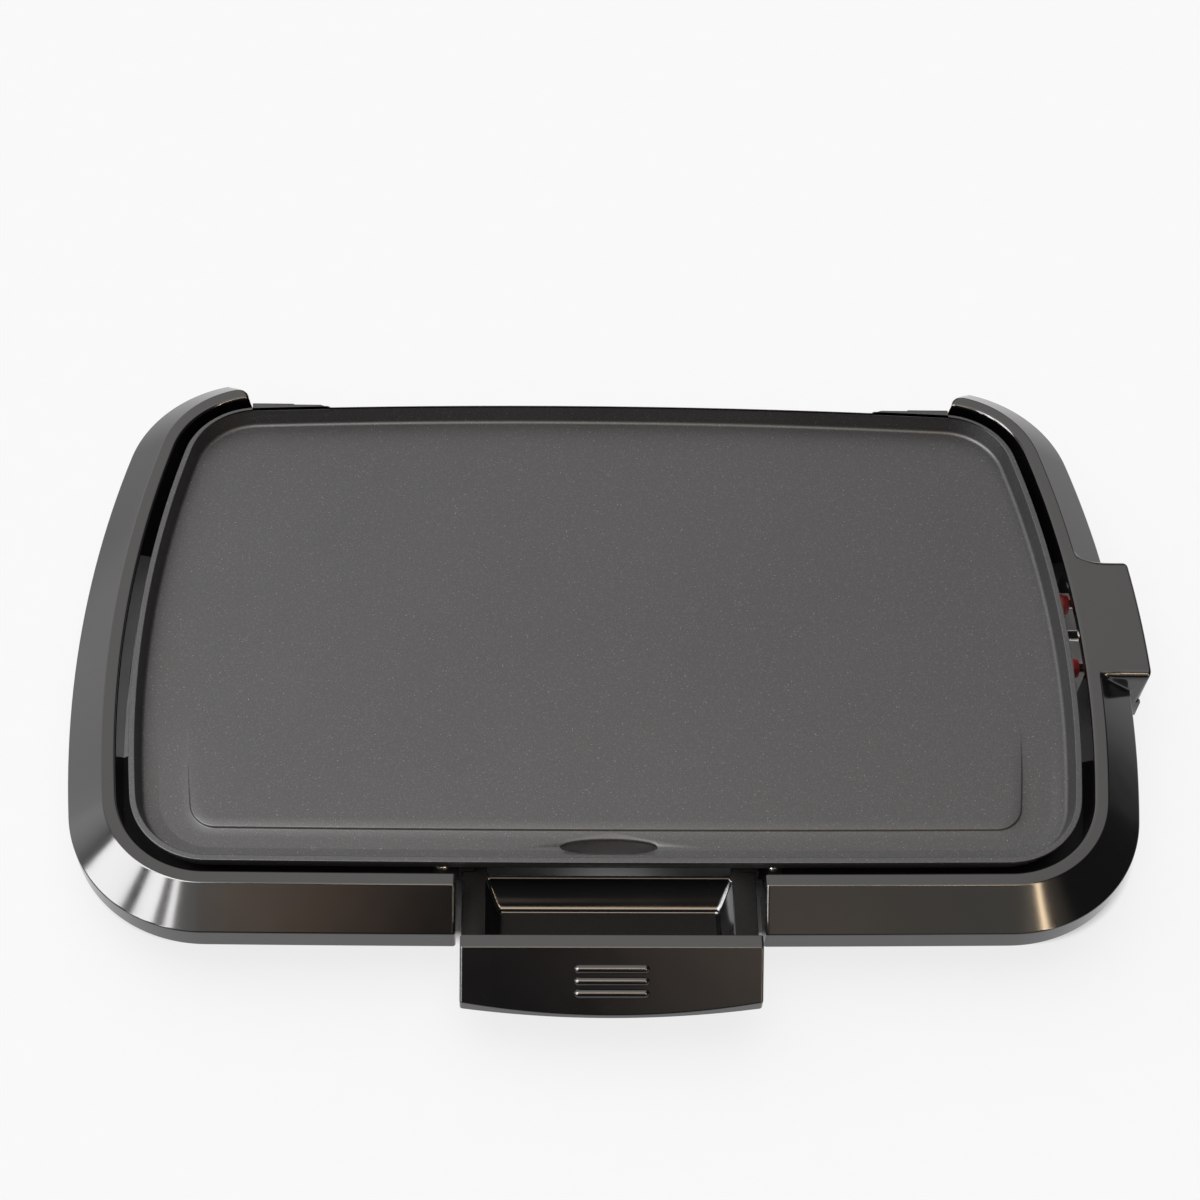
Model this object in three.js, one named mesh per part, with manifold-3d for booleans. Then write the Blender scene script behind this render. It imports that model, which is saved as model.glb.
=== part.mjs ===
// Electric griddle: a cast non-stick plate in a moulded surround, heated by a tube under the plate,
// with a drip tray that slides out at the front and a socket for a plug-in thermostat on the right.
// Millimetres. +X is to the right, +Y to the rear and +Z up. The feet stand on z = 0.

import * as THREE from 'three';
import { mergeVertices } from 'three/addons/utils/BufferGeometryUtils.js';
import Module from 'manifold-3d';

const wasm = await Module();
wasm.setup();

// ---------------------------------------------------------------- driving dimensions

const FIT_GAP = 0.3; // between a piece and the seat that carries it
const RUN_GAP = 0.5; // around what slides
const BEYOND = 1; // how far a cutter runs past what it cuts

// Plan of the plate's rim: four long arcs joined by tangent corner arcs.
const plate = {
  halfWidth: 265,
  halfDepth: 156.2,
  sideRadius: 646,
  sideCentreY: -22.9,
  frontRadius: 21667,
  rearRadius: 4336,
  frontCornerRadius: 45,
  rearCornerRadius: 42,
  rimDrop: 1.5, // below the top of the surround
  rimWidth: 3.3,
  rearRimWidth: 2.2,
  rearTrim: 1.4, // off the rim's rear edge, between the two rear tabs
  depth: 12,
  wallDraft: 2.2,
  footFillet: 1.8,
  rimBand: 2, // upright band at the top of the outer face
  bandRadius: 1,
  outerDraft: 4.4,
  lowerChamfer: 1.5,
  floor: 4,
};
// The tabs' places are given in from the plate's widest point.
const rearTab = {
  innerInset: 99.5,
  rampInset: 94,
  stepInset: 78.3,
  outerInset: 53,
  edgeInset: 1.7, // from the plate's rearmost point
  step: 0.6,
  thickness: 3,
};
const cookingArea = { sideInset: 31, frontInset: 26.4, cornerRadius: 15, fadeInset: 90.2, dip: 1.4 };
const drainHole = { frontInset: 16.7, length: 52, width: 9 };

// Section of the surround, given as distances out from the plate's rim.
const surround = {
  height: 29.8,
  gap: 6.5,
  flat: 7.5,
  reach: 34.6,
  frontReach: 35.4,
  slopeDrop: 15.6,
  wall: 2.5,
  rearReach: 30,
  rearCornerRadius: 74,
  hornInset: 50,
  hornFlare: 4,
  hornRound: { top: 6, foot: 16, topOut: 1.3, footOut: 5.8 }, // radii, and their centres past the plate
  boss: 8.5,
  bossPlaces: { rearOut: 19, rearAngle: 38, middleAhead: 40, frontBeside: 71.5 },
  rearBarHeight: 11,
  rearBarFrom: 3,
  rearBarTo: 11,
};
const trayNotchGap = 3; // on each side of the tray
const hood = {
  aheadOfPin: 18.5,
  behindPin: 17.5,
  proud: 9.3,
  drop: 43.5, // from the top of the surround to the foot of the hood's two cheeks
  cheekGap: 1.5, // from the base pan's edge
  windowTop: 5,
  windowMargin: 4,
};

// The heater's loop and the terminals are placed from the plate's own edges.
const heater = { tube: 7, frontInset: 81.2, rearInset: 61.2, sideInset: 60, bend: 18 };
const terminals = { y: 2.5, spacing: 44, pin: 6, pinReach: 27, seal: 13, sealLength: 10.2 };
const sleeve = { outer: 7, bore: 5, end: 2, inside: 47, outside: 11 };
const terminalBoss = { inset: 4, length: 25, beyondPlate: 2, drop: 11.5 };
const terminalPlate = { thickness: 1.2, beyondPin: 16, above: 3.75, below: 5.25, screwInset: 4 };
const clip = { width: 10, thickness: 1, longEar: 12, shortEar: 5, screwOut: 6, atX: 120 };

const pan = {
  thickness: 1,
  inset: 8,
  cutoutSide: 5,
  cutoutRear: 8,
  ventWidth: 16,
  ventFront: -78,
  ventRear: 60,
  ventSlant: 7,
};
const leg = { topRadius: 16, footRadius: 13.5, height: 16.1, counterbore: 9.6, counterboreDepth: 5 };
const pad = { radius: 12.5, height: 6.2 };
const postRadius = 6.5;
const legInset = 28; // from the corner arc's centre towards the corner

const tray = {
  open: 35.6, // how far it stands out of the surround
  halfWidth: 79,
  backInset: 37.9, // closed, from the plate's front edge to the tray's rear edge
  flangeDrop: 21, // below the top of the surround
  flange: 2,
  tubInset: 13, // from the tray's side to the trough's
  tubSideSlope: 6,
  tubDepth: 14,
  backSlope: 12,
  wall: 2.2,
  armLength: 28,
  panelRun: 23,
  panelBulge: 5.5,
  panelFlat: 7.3,
  panelHeight: 25,
};
const gripBar = { count: 3, length: 40, radius: 2.8, proud: 1.2, firstRun: 8.5, pitch: 5.1 };
const rail = {
  frontInset: 4, // behind the plate's front edge
  rearInset: 72.2,
  lip: 7,
  wall: 1.5,
  foot: 14,
  screwOut: 9,
  screwInset: 8,
  screwTip: 3,
};

const screw = {
  small: { shank: 3, head: 6, headHeight: 1.8, bite: 2.5, length: 9 },
  large: { shank: 4, head: 7.5, headHeight: 2.4, bite: 8 },
};
const CLEARANCE_HOLE = 0.6; // added to a shank's diameter

// ---------------------------------------------------------------- levels that follow

const topZ = leg.height + pad.height + 3 * FIT_GAP + pan.thickness + surround.height;
const rimZ = topZ - plate.rimDrop;
const floorZ = rimZ - plate.depth;
const undersideZ = floorZ - plate.floor;
const surroundBottomZ = topZ - surround.height;
const panTopZ = surroundBottomZ - FIT_GAP;
const panBottomZ = panTopZ - pan.thickness;
const legTopZ = panBottomZ - FIT_GAP;
const legBottomZ = legTopZ - leg.height;
const heaterZ = undersideZ - FIT_GAP - heater.tube / 2;
const pinY = {
  front: terminals.y - terminals.spacing / 2,
  rear: terminals.y + terminals.spacing / 2,
};
const pinEndX = plate.halfWidth + terminals.pinReach;
const hoodY = { front: pinY.front - hood.aheadOfPin, rear: pinY.rear + hood.behindPin };
const heaterLoop = {
  front: heater.frontInset - plate.halfDepth,
  rear: plate.halfDepth - heater.rearInset,
  halfWidth: plate.halfWidth - heater.sideInset,
};
const sleeveX = { from: plate.halfWidth - sleeve.inside, to: plate.halfWidth + sleeve.outside };
const bossEndX = plate.halfWidth - terminalBoss.inset;
const bossX = { from: bossEndX - terminalBoss.length, to: bossEndX };
const terminalPlateHalf = terminals.spacing / 2 + terminalPlate.beyondPin;
const terminalBossHalf = terminalPlateHalf + terminalBoss.beyondPlate;
const tabX = {
  inner: plate.halfWidth - rearTab.innerInset,
  ramp: plate.halfWidth - rearTab.rampInset,
  step: plate.halfWidth - rearTab.stepInset,
  outer: plate.halfWidth - rearTab.outerInset,
};
const hornEndX = plate.halfWidth - surround.hornInset;
const fadeY = cookingArea.fadeInset - plate.halfDepth;
const drainY = drainHole.frontInset - plate.halfDepth;
const notchHalfWidth = tray.halfWidth + trayNotchGap;
const trayBackRim = plate.halfDepth - tray.backInset;
const tubHalfWidth = tray.halfWidth - tray.tubInset;
const railY = { front: rail.frontInset - plate.halfDepth, rear: rail.rearInset - plate.halfDepth };
const crease = surround.gap + surround.flat;
const fallPerRun = surround.slopeDrop / (surround.reach - crease);

// ---------------------------------------------------------------- materials

const finish = {
  coating: { color: 0x37373a, roughness: 0.62, metalness: 0.1 },
  gloss: { color: 0x121214, roughness: 0.12, metalness: 0 },
  silicone: { color: 0x8e1d14, roughness: 0.5, metalness: 0 },
  steel: { color: 0xb4b4b0, roughness: 0.3, metalness: 1 },
  heaterSteel: { color: 0x6d6a63, roughness: 0.45, metalness: 1 },
  pressedSteel: { color: 0x9a9b9c, roughness: 0.4, metalness: 1 },
  blackSheet: { color: 0x1c1c1e, roughness: 0.45, metalness: 0 },
  rubber: { color: 0x1b1b1b, roughness: 0.85, metalness: 0 },
  phenolic: { color: 0x1d1a18, roughness: 0.6, metalness: 0 },
};

const model = new THREE.Group();

function addPiece(name, solid, look) {
  const { vertProperties, triVerts } = solid.getMesh();
  const geometry = new THREE.BufferGeometry();
  geometry.setAttribute('position', new THREE.BufferAttribute(new Float32Array(vertProperties), 3));
  geometry.setIndex(new THREE.BufferAttribute(new Uint32Array(triVerts), 1));
  geometry.computeVertexNormals();
  const mesh = new THREE.Mesh(geometry, new THREE.MeshStandardMaterial(look));
  mesh.name = name;
  model.add(mesh);
}

// ---------------------------------------------------------------- solids

function solidOf(geometry) {
  for (const name of ['normal', 'uv']) geometry.deleteAttribute(name);
  const merged = mergeVertices(geometry, 1e-4);
  const vertProperties = new Float32Array(merged.attributes.position.array);
  const triVerts = new Uint32Array(merged.index.array);
  return new wasm.Manifold(new wasm.Mesh({ numProp: 3, vertProperties, triVerts }));
}

function prism(points, lowZ, highZ) {
  const shape = new THREE.Shape(points);
  const geometry = new THREE.ExtrudeGeometry(shape, { depth: highZ - lowZ, bevelEnabled: false });
  return solidOf(geometry.translate(0, 0, lowZ));
}

const toVectors = (pairs) => pairs.map(([x, y]) => new THREE.Vector2(x, y));

// A section in the YZ plane, drawn as [y, z] pairs, run along X.
function sectionAlongX(pairs, lowX, highX) {
  const shape = new THREE.Shape(toVectors(pairs));
  const geometry = new THREE.ExtrudeGeometry(shape, { depth: highX - lowX, bevelEnabled: false });
  geometry.applyMatrix4(new THREE.Matrix4().set(0, 0, 1, lowX, 1, 0, 0, 0, 0, 1, 0, 0, 0, 0, 0, 1));
  return solidOf(geometry);
}

// A section in the XZ plane, drawn as [x, z] pairs, run along Y.
function sectionAlongY(pairs, lowY, highY) {
  const shape = new THREE.Shape(toVectors(pairs));
  const geometry = new THREE.ExtrudeGeometry(shape, { depth: highY - lowY, bevelEnabled: false });
  geometry.applyMatrix4(new THREE.Matrix4().set(1, 0, 0, 0, 0, 0, -1, highY, 0, 1, 0, 0, 0, 0, 0, 1));
  return solidOf(geometry);
}

function box(lowX, highX, lowY, highY, lowZ, highZ) {
  const geometry = new THREE.BoxGeometry(highX - lowX, highY - lowY, highZ - lowZ);
  return solidOf(geometry.translate((lowX + highX) / 2, (lowY + highY) / 2, (lowZ + highZ) / 2));
}

function uprightRod(x, y, lowZ, highZ, diameter, sides = 20) {
  const geometry = new THREE.CylinderGeometry(diameter / 2, diameter / 2, highZ - lowZ, sides);
  return solidOf(geometry.rotateX(Math.PI / 2).translate(x, y, (lowZ + highZ) / 2));
}

function rodAlongX(lowX, highX, y, z, diameter, sides = 24) {
  const geometry = new THREE.CylinderGeometry(diameter / 2, diameter / 2, highX - lowX, sides);
  return solidOf(geometry.rotateZ(Math.PI / 2).translate((lowX + highX) / 2, y, z));
}

// Holes run past both of the faces that they are given.
const screwHole = ({ shank }) => shank + CLEARANCE_HOLE;

function uprightHole(x, y, lowZ, highZ, diameter) {
  return uprightRod(x, y, lowZ - BEYOND, highZ + BEYOND, diameter, 12);
}

function holeAlongX(lowX, highX, y, z, diameter, sides) {
  return rodAlongX(lowX - BEYOND, highX + BEYOND, y, z, diameter, sides);
}

// Stacked closed rings with the same number of points, lowest first, skinned and capped.
function ringSolid(rings) {
  const count = rings[0].points.length;
  const positions = rings.flatMap(({ points, z }) => points.flatMap((p) => [p.x, p.y, z]));
  const index = [];
  for (let level = 0; level + 1 < rings.length; level += 1) {
    for (let i = 0; i < count; i += 1) {
      const a = level * count + i;
      const b = level * count + ((i + 1) % count);
      index.push(a, b, b + count, a, b + count, a + count);
    }
  }
  const topStart = (rings.length - 1) * count;
  for (const [a, b, c] of THREE.ShapeUtils.triangulateShape(rings[0].points, [])) {
    index.push(a, c, b);
  }
  for (const [a, b, c] of THREE.ShapeUtils.triangulateShape(rings.at(-1).points, [])) {
    index.push(topStart + a, topStart + b, topStart + c);
  }
  const geometry = new THREE.BufferGeometry();
  geometry.setAttribute('position', new THREE.Float32BufferAttribute(positions, 3));
  geometry.setIndex(index);
  return solidOf(geometry);
}

function cutAll(solid, cutters) {
  return cutters.reduce((rest, cutter) => rest.subtract(cutter), solid);
}

function joinAll(solids) {
  return solids.reduce((whole, solid) => whole.add(solid));
}

// ---------------------------------------------------------------- outlines

// Centre of a corner arc that lies inside both circles and touches them.
function cornerCentre(first, second, radius, towardsRear) {
  const r1 = first.r - radius;
  const r2 = second.r - radius;
  const dx = second.x - first.x;
  const dy = second.y - first.y;
  const distance = Math.hypot(dx, dy);
  const along = (r1 * r1 - r2 * r2 + distance * distance) / (2 * distance);
  const across = Math.sqrt(r1 * r1 - along * along);
  const candidates = [1, -1].map((side) => ({
    x: first.x + (along * dx - side * across * dy) / distance,
    y: first.y + (along * dy + side * across * dx) / distance,
  }));
  const score = (p) => p.x + towardsRear * p.y;
  return candidates.sort((p, q) => score(q) - score(p))[0];
}

function arcPoints(centre, radius, from, to, steps) {
  return Array.from({ length: steps }, (_, i) => {
    const angle = from + ((to - from) * i) / steps;
    return new THREE.Vector2(centre.x + radius * Math.cos(angle), centre.y + radius * Math.sin(angle));
  });
}

const outlinePlan = (sizes) => {
  const side = { x: sizes.halfWidth - sizes.sideRadius, y: sizes.sideCentreY, r: sizes.sideRadius };
  const front = { x: 0, y: sizes.frontY + sizes.frontRadius, r: sizes.frontRadius };
  const rear = { x: 0, y: sizes.rearY - sizes.rearRadius, r: sizes.rearRadius };
  const frontCorner = cornerCentre(front, side, sizes.frontCornerRadius, -1);
  const rearCorner = cornerCentre(side, rear, sizes.rearCornerRadius, 1);
  return { ...sizes, side, front, rear, frontCorner, rearCorner };
};

// The whole outline at a distance out from the plan's own edge, counter-clockwise.
function outline(plan, out = 0) {
  const angleTo = (from, to) => Math.atan2(to.y - from.y, to.x - from.x);
  const frontAngle = angleTo(plan.front, plan.frontCorner);
  const sideStart = angleTo(plan.side, plan.frontCorner);
  const sideEnd = angleTo(plan.side, plan.rearCorner);
  const rearAngle = angleTo(plan.rear, plan.rearCorner);
  const right = [
    ...arcPoints(plan.front, plan.front.r + out, -Math.PI / 2, frontAngle, 3),
    ...arcPoints(plan.frontCorner, plan.frontCornerRadius + out, frontAngle, sideStart, 9),
    ...arcPoints(plan.side, plan.side.r + out, sideStart, sideEnd, 9),
    ...arcPoints(plan.rearCorner, plan.rearCornerRadius + out, sideEnd, rearAngle, 9),
    ...arcPoints(plan.rear, plan.rear.r + out, rearAngle, Math.PI / 2, 4),
  ];
  const rearMiddle = new THREE.Vector2(0, plan.rear.y + plan.rear.r + out);
  const left = right.slice(1).reverse().map((p) => new THREE.Vector2(-p.x, p.y));
  return [...right, rearMiddle, ...left];
}

const ring = (plan, out, z) => ({ points: outline(plan, out), z });

const rimPlan = outlinePlan({ ...plate, frontY: -plate.halfDepth, rearY: plate.halfDepth });
const outerPlan = outlinePlan({
  ...plate,
  halfWidth: plate.halfWidth + surround.reach,
  frontY: -plate.halfDepth - surround.frontReach,
  rearY: plate.halfDepth + surround.rearReach,
  sideRadius: plate.sideRadius + surround.reach,
  frontRadius: plate.frontRadius + surround.frontReach,
  frontCornerRadius: plate.frontCornerRadius + surround.reach,
  rearCornerRadius: surround.rearCornerRadius,
});

const cookingPlan = outlinePlan({
  ...plate,
  halfWidth: plate.halfWidth - cookingArea.sideInset,
  frontY: -plate.halfDepth + cookingArea.frontInset,
  rearY: plate.halfDepth,
  sideRadius: plate.sideRadius - cookingArea.sideInset,
  frontRadius: plate.frontRadius - cookingArea.frontInset,
  frontCornerRadius: cookingArea.cornerRadius,
});

const sideX = (plan, y, out) => plan.side.x + Math.sqrt((plan.side.r + out) ** 2 - (y - plan.side.y) ** 2);
const frontYAt = (plan, x, out) => plan.front.y - Math.sqrt((plan.front.r + out) ** 2 - x * x);
const rearYAt = (plan, x, out) => plan.rear.y + Math.sqrt((plan.rear.r + out) ** 2 - x * x);

function cornerPoint(corner, radius, degrees) {
  const angle = THREE.MathUtils.degToRad(degrees);
  return { x: corner.x + radius * Math.cos(angle), y: corner.y + radius * Math.sin(angle) };
}

// ---------------------------------------------------------------- screws

// A pan-head screw standing on its head or hanging from it: headZ is the seat under the head.
function uprightScrew({ shank, head, headHeight }, x, y, headZ, tipZ) {
  const up = Math.sign(tipZ - headZ);
  const profile = [
    new THREE.Vector2(0, 0),
    new THREE.Vector2(shank / 2, 0),
    new THREE.Vector2(shank / 2, Math.abs(tipZ - headZ)),
    new THREE.Vector2(head / 2, Math.abs(tipZ - headZ)),
    new THREE.Vector2(head * 0.4, Math.abs(tipZ - headZ) + headHeight),
    new THREE.Vector2(0, Math.abs(tipZ - headZ) + headHeight),
  ];
  const geometry = new THREE.LatheGeometry(profile, 12);
  geometry.rotateX(up > 0 ? -Math.PI / 2 : Math.PI / 2);
  return solidOf(geometry.translate(x, y, tipZ));
}

function screwAlongX({ shank, head, headHeight }, headX, tipX, y, z) {
  const length = headX - tipX;
  const profile = [
    new THREE.Vector2(0, 0),
    new THREE.Vector2(shank / 2, 0),
    new THREE.Vector2(shank / 2, length),
    new THREE.Vector2(head / 2, length),
    new THREE.Vector2(head * 0.4, length + headHeight),
    new THREE.Vector2(0, length + headHeight),
  ];
  const geometry = new THREE.LatheGeometry(profile, 12);
  return solidOf(geometry.rotateZ(-Math.PI / 2).translate(tipX, y, z));
}

// ---------------------------------------------------------------- places shared by several pieces

const legPlaces = {
  front_left: { corner: rimPlan.frontCorner, side: -1, angle: -45 },
  front_right: { corner: rimPlan.frontCorner, side: 1, angle: -45 },
  rear_left: { corner: rimPlan.rearCorner, side: -1, angle: 45 },
  rear_right: { corner: rimPlan.rearCorner, side: 1, angle: 45 },
};
for (const place of Object.values(legPlaces)) {
  const point = cornerPoint(place.corner, legInset, place.angle);
  place.x = place.side * point.x;
  place.y = point.y;
}

const bossMiddle = (crease + surround.reach - surround.wall) / 2; // out from the rim
const { bossPlaces } = surround;
const rearBossRadius = plate.rearCornerRadius + bossPlaces.rearOut;
const rearBoss = cornerPoint(rimPlan.rearCorner, rearBossRadius, bossPlaces.rearAngle);
const middleBossY = hoodY.front - bossPlaces.middleAhead;
const frontBossX = notchHalfWidth + bossPlaces.frontBeside;
const surroundScrews = {};
for (const [hand, side] of [['left', -1], ['right', 1]]) {
  surroundScrews[`front_${hand}`] = { x: side * frontBossX, y: frontYAt(rimPlan, frontBossX, bossMiddle) };
  surroundScrews[`middle_${hand}`] = { x: side * sideX(rimPlan, middleBossY, bossMiddle), y: middleBossY };
  surroundScrews[`rear_${hand}`] = { x: side * rearBoss.x, y: rearBoss.y };
}

const clipInner = heater.tube / 2 + FIT_GAP; // from the tube's axis to the inside of a clip
const clipScrewOut = clipInner + clip.thickness + clip.screwOut;
const clips = [
  { x: -clip.atX, y: heaterLoop.rear, ear: -1 },
  { x: clip.atX, y: heaterLoop.rear, ear: -1 },
  { x: -clip.atX, y: heaterLoop.front, ear: 1 },
  { x: clip.atX, y: heaterLoop.front, ear: 1 },
].map((place) => ({ ...place, screwY: place.y + place.ear * clipScrewOut }));

// ---------------------------------------------------------------- griddle plate

// The dish is cast with a rounded foot to its wall. Outside the cooking area the floor falls
// towards the front, so fat runs to the drain hole.
function griddlePlate() {
  const wallFoot = -plate.rimWidth - plate.wallDraft;
  const casting = ringSolid([
    ring(rimPlan, -plate.outerDraft - plate.lowerChamfer, undersideZ),
    ring(rimPlan, -plate.outerDraft, undersideZ + plate.lowerChamfer),
    ring(rimPlan, -plate.bandRadius / 2, rimZ - plate.rimBand - plate.bandRadius),
    ring(rimPlan, 0, rimZ - plate.rimBand),
    ring(rimPlan, 0, rimZ),
  ]);

  const fillet = [0, Math.PI / 4, Math.PI / 2].map((angle) => ({
    out: wallFoot - plate.footFillet * (1 - Math.sin(angle)),
    z: floorZ + plate.footFillet * (1 - Math.cos(angle)),
  }));
  const dishPlan = outlinePlan({
    ...plate,
    frontY: -plate.halfDepth,
    rearY: plate.halfDepth + plate.rimWidth - plate.rearRimWidth,
  });
  const dish = ringSolid([
    ...fillet.map(({ out, z }) => ring(dishPlan, out, z)),
    ring(dishPlan, -plate.rimWidth, rimZ),
    ring(dishPlan, -plate.rimWidth, rimZ + BEYOND),
  ]);
  const farY = plate.halfDepth * 2;
  const rearTrim = prism(outline(rimPlan, BEYOND), undersideZ - BEYOND, rimZ + BEYOND)
    .subtract(prism(outline(rimPlan, -plate.rearTrim), undersideZ - 2 * BEYOND, rimZ + 2 * BEYOND))
    .intersect(box(-tabX.inner, tabX.inner, 0, farY, undersideZ - BEYOND, rimZ + BEYOND));

  const floorOutline = prism(outline(dishPlan, fillet[0].out), floorZ - plate.floor, floorZ + BEYOND);
  const fall = sectionAlongX(
    [
      [fadeY, floorZ],
      [fadeY, floorZ + BEYOND / 2],
      [-plate.halfDepth, floorZ + BEYOND / 2],
      [-plate.halfDepth, floorZ - cookingArea.dip],
    ],
    -plate.halfWidth,
    plate.halfWidth,
  );
  const level = prism(outline(cookingPlan), floorZ - plate.floor, floorZ + BEYOND);
  const border = floorOutline.intersect(fall).subtract(level);

  const holeShape = new THREE.EllipseCurve(0, drainY, drainHole.length / 2, drainHole.width / 2);
  const drain = prism(holeShape.getPoints(32).slice(0, 32), undersideZ - BEYOND, floorZ + BEYOND);

  const boss = box(
    bossX.from,
    bossX.to,
    terminals.y - terminalBossHalf,
    terminals.y + terminalBossHalf,
    undersideZ - terminalBoss.drop,
    undersideZ + 0.5,
  );
  const tubeHole = heater.tube + 2 * FIT_GAP;
  const smallHole = screwHole(screw.small);
  const bossHoles = [
    ...Object.values(pinY).map((y) => holeAlongX(bossX.from, bossX.to, y, heaterZ, tubeHole)),
    holeAlongX(bossX.from, bossX.to, terminals.y, heaterZ, sleeve.outer + 2 * FIT_GAP),
    ...terminalScrewY.map((y) =>
      holeAlongX(bossX.to - screw.small.length, bossX.to, y, heaterZ, smallHole, 12),
    ),
  ];
  const clipHoles = clips.map(({ x, screwY }) =>
    uprightHole(x, screwY, undersideZ, undersideZ + screw.small.bite - FIT_GAP, screwHole(screw.small)),
  );

  let solid = joinAll([casting, ...rearTabs(), boss]);
  solid = cutAll(solid, [dish, rearTrim, border, drain, ...bossHoles, ...clipHoles]);
  return solid;
}

// Two flat tabs behind the rear rim, each with a small step in its edge.
function rearTabs() {
  const edgeY = plate.halfDepth - rearTab.edgeInset;
  const underRim = (x) => rearYAt(rimPlan, x, -plate.rimWidth);
  return [-1, 1].map((side) => {
    const tab = [
      [tabX.inner, underRim(tabX.inner)],
      [tabX.outer, underRim(tabX.outer)],
      [tabX.outer, edgeY],
      [tabX.step + 1, edgeY],
      [tabX.step, edgeY - rearTab.step],
      [tabX.ramp, edgeY - rearTab.step],
      [tabX.inner, rearYAt(rimPlan, tabX.inner, -plate.rearTrim)],
    ].map(([x, y]) => new THREE.Vector2(side * x, y));
    const points = side > 0 ? tab : tab.reverse();
    return prism(points, rimZ - rearTab.thickness, rimZ);
  });
}

const terminalScrewY = [-1, 1].map(
  (side) => terminals.y + side * (terminalPlateHalf - terminalPlate.screwInset),
);
addPiece('griddle_plate', griddlePlate(), finish.coating);

// ---------------------------------------------------------------- heating element and terminals

// A sheathed tube in one loop under the cooking area; both ends leave through the terminal boss.
function heatingElement() {
  const corners = [
    [bossX.to, pinY.rear],
    [heaterLoop.halfWidth, pinY.rear],
    [heaterLoop.halfWidth, heaterLoop.rear],
    [-heaterLoop.halfWidth, heaterLoop.rear],
    [-heaterLoop.halfWidth, heaterLoop.front],
    [heaterLoop.halfWidth, heaterLoop.front],
    [heaterLoop.halfWidth, pinY.front],
    [bossX.to, pinY.front],
  ].map(([x, y]) => new THREE.Vector3(x, y, heaterZ));
  const path = new THREE.CurvePath();
  let from = corners[0];
  for (let i = 1; i < corners.length - 1; i += 1) {
    const corner = corners[i];
    const towards = (next) => corner.clone().lerp(next, heater.bend / corner.distanceTo(next));
    const before = towards(corners[i - 1]);
    const after = towards(corners[i + 1]);
    path.add(new THREE.LineCurve3(from, before));
    path.add(new THREE.QuadraticBezierCurve3(before, corner, after));
    from = after;
  }
  path.add(new THREE.LineCurve3(from, corners.at(-1)));
  const round = new THREE.EllipseCurve(0, 0, heater.tube / 2, heater.tube / 2);
  const section = new THREE.Shape(round.getPoints(8).slice(0, 8));
  return solidOf(new THREE.ExtrudeGeometry(section, { steps: 130, bevelEnabled: false, extrudePath: path }));
}
addPiece('heating_element', heatingElement(), finish.heaterSteel);

const terminalPlateX = bossX.to + FIT_GAP;
const terminalPlateOuterX = terminalPlateX + terminalPlate.thickness;
const sealX = terminalPlateOuterX + FIT_GAP;
for (const [end, y] of Object.entries(pinY)) {
  const pin = rodAlongX(bossX.to + FIT_GAP, pinEndX, y, heaterZ, terminals.pin);
  addPiece(`terminal_pin_${end}`, pin, finish.steel);
  const bore = holeAlongX(sealX, sealX + terminals.sealLength, y, heaterZ, terminals.pin + 2 * FIT_GAP);
  const seal = rodAlongX(sealX, sealX + terminals.sealLength, y, heaterZ, terminals.seal, 28).subtract(bore);
  addPiece(`pin_seal_${end}`, seal, finish.silicone);
}

// The sleeve takes the thermostat's sensor rod; its inner end is closed.
const sleeveBore = rodAlongX(sleeveX.from + sleeve.end, sleeveX.to + BEYOND, terminals.y, heaterZ, sleeve.bore);
addPiece(
  'sensor_sleeve',
  rodAlongX(sleeveX.from, sleeveX.to, terminals.y, heaterZ, sleeve.outer).subtract(sleeveBore),
  finish.steel,
);

const terminalPlateSolid = cutAll(
  box(
    terminalPlateX,
    terminalPlateOuterX,
    terminals.y - terminalPlateHalf,
    terminals.y + terminalPlateHalf,
    heaterZ - terminalPlate.below,
    heaterZ + terminalPlate.above,
  ),
  [
    ...Object.values(pinY).map((y) =>
      holeAlongX(terminalPlateX, terminalPlateOuterX, y, heaterZ, terminals.pin + 2 * FIT_GAP),
    ),
    holeAlongX(terminalPlateX, terminalPlateOuterX, terminals.y, heaterZ, sleeve.outer + 2 * FIT_GAP),
    ...terminalScrewY.map((y) =>
      holeAlongX(terminalPlateX, terminalPlateOuterX, y, heaterZ, screwHole(screw.small), 12),
    ),
  ],
);
addPiece('terminal_plate', terminalPlateSolid, finish.blackSheet);
terminalScrewY.forEach((y, i) => {
  const headX = terminalPlateOuterX + FIT_GAP;
  const fastener = screwAlongX(screw.small, headX, headX - screw.small.length, y, heaterZ);
  addPiece(`terminal_plate_screw_${['front', 'rear'][i]}`, fastener, finish.steel);
});

// Each clip is a strap bent round the tube, with one long ear for its screw.
clips.forEach(({ x, y, ear, screwY }, i) => {
  const earTop = undersideZ - FIT_GAP;
  const earLow = earTop - clip.thickness;
  const outer = clipInner + clip.thickness;
  const lowX = x - clip.width / 2;
  const highX = x + clip.width / 2;
  const [earStart, earEnd] = ear > 0 ? [-clip.shortEar, clip.longEar] : [-clip.longEar, clip.shortEar];
  const strap = joinAll([
    box(lowX, highX, y + earStart - outer, y + earEnd + outer, earLow, earTop),
    box(lowX, highX, y - outer, y + outer, heaterZ - outer, earTop),
  ]);
  const channel = box(
    lowX - BEYOND,
    highX + BEYOND,
    y - clipInner,
    y + clipInner,
    heaterZ - clipInner,
    earTop + BEYOND,
  );
  const hole = uprightHole(x, screwY, earLow, earTop, screwHole(screw.small));
  addPiece(`element_clip_${i + 1}`, cutAll(strap, [channel, hole]), finish.pressedSteel);
  const fastener = uprightScrew(screw.small, x, screwY, earLow - FIT_GAP, undersideZ + screw.small.bite);
  addPiece(`element_clip_screw_${i + 1}`, fastener, finish.steel);
});

// ---------------------------------------------------------------- surround

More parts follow.
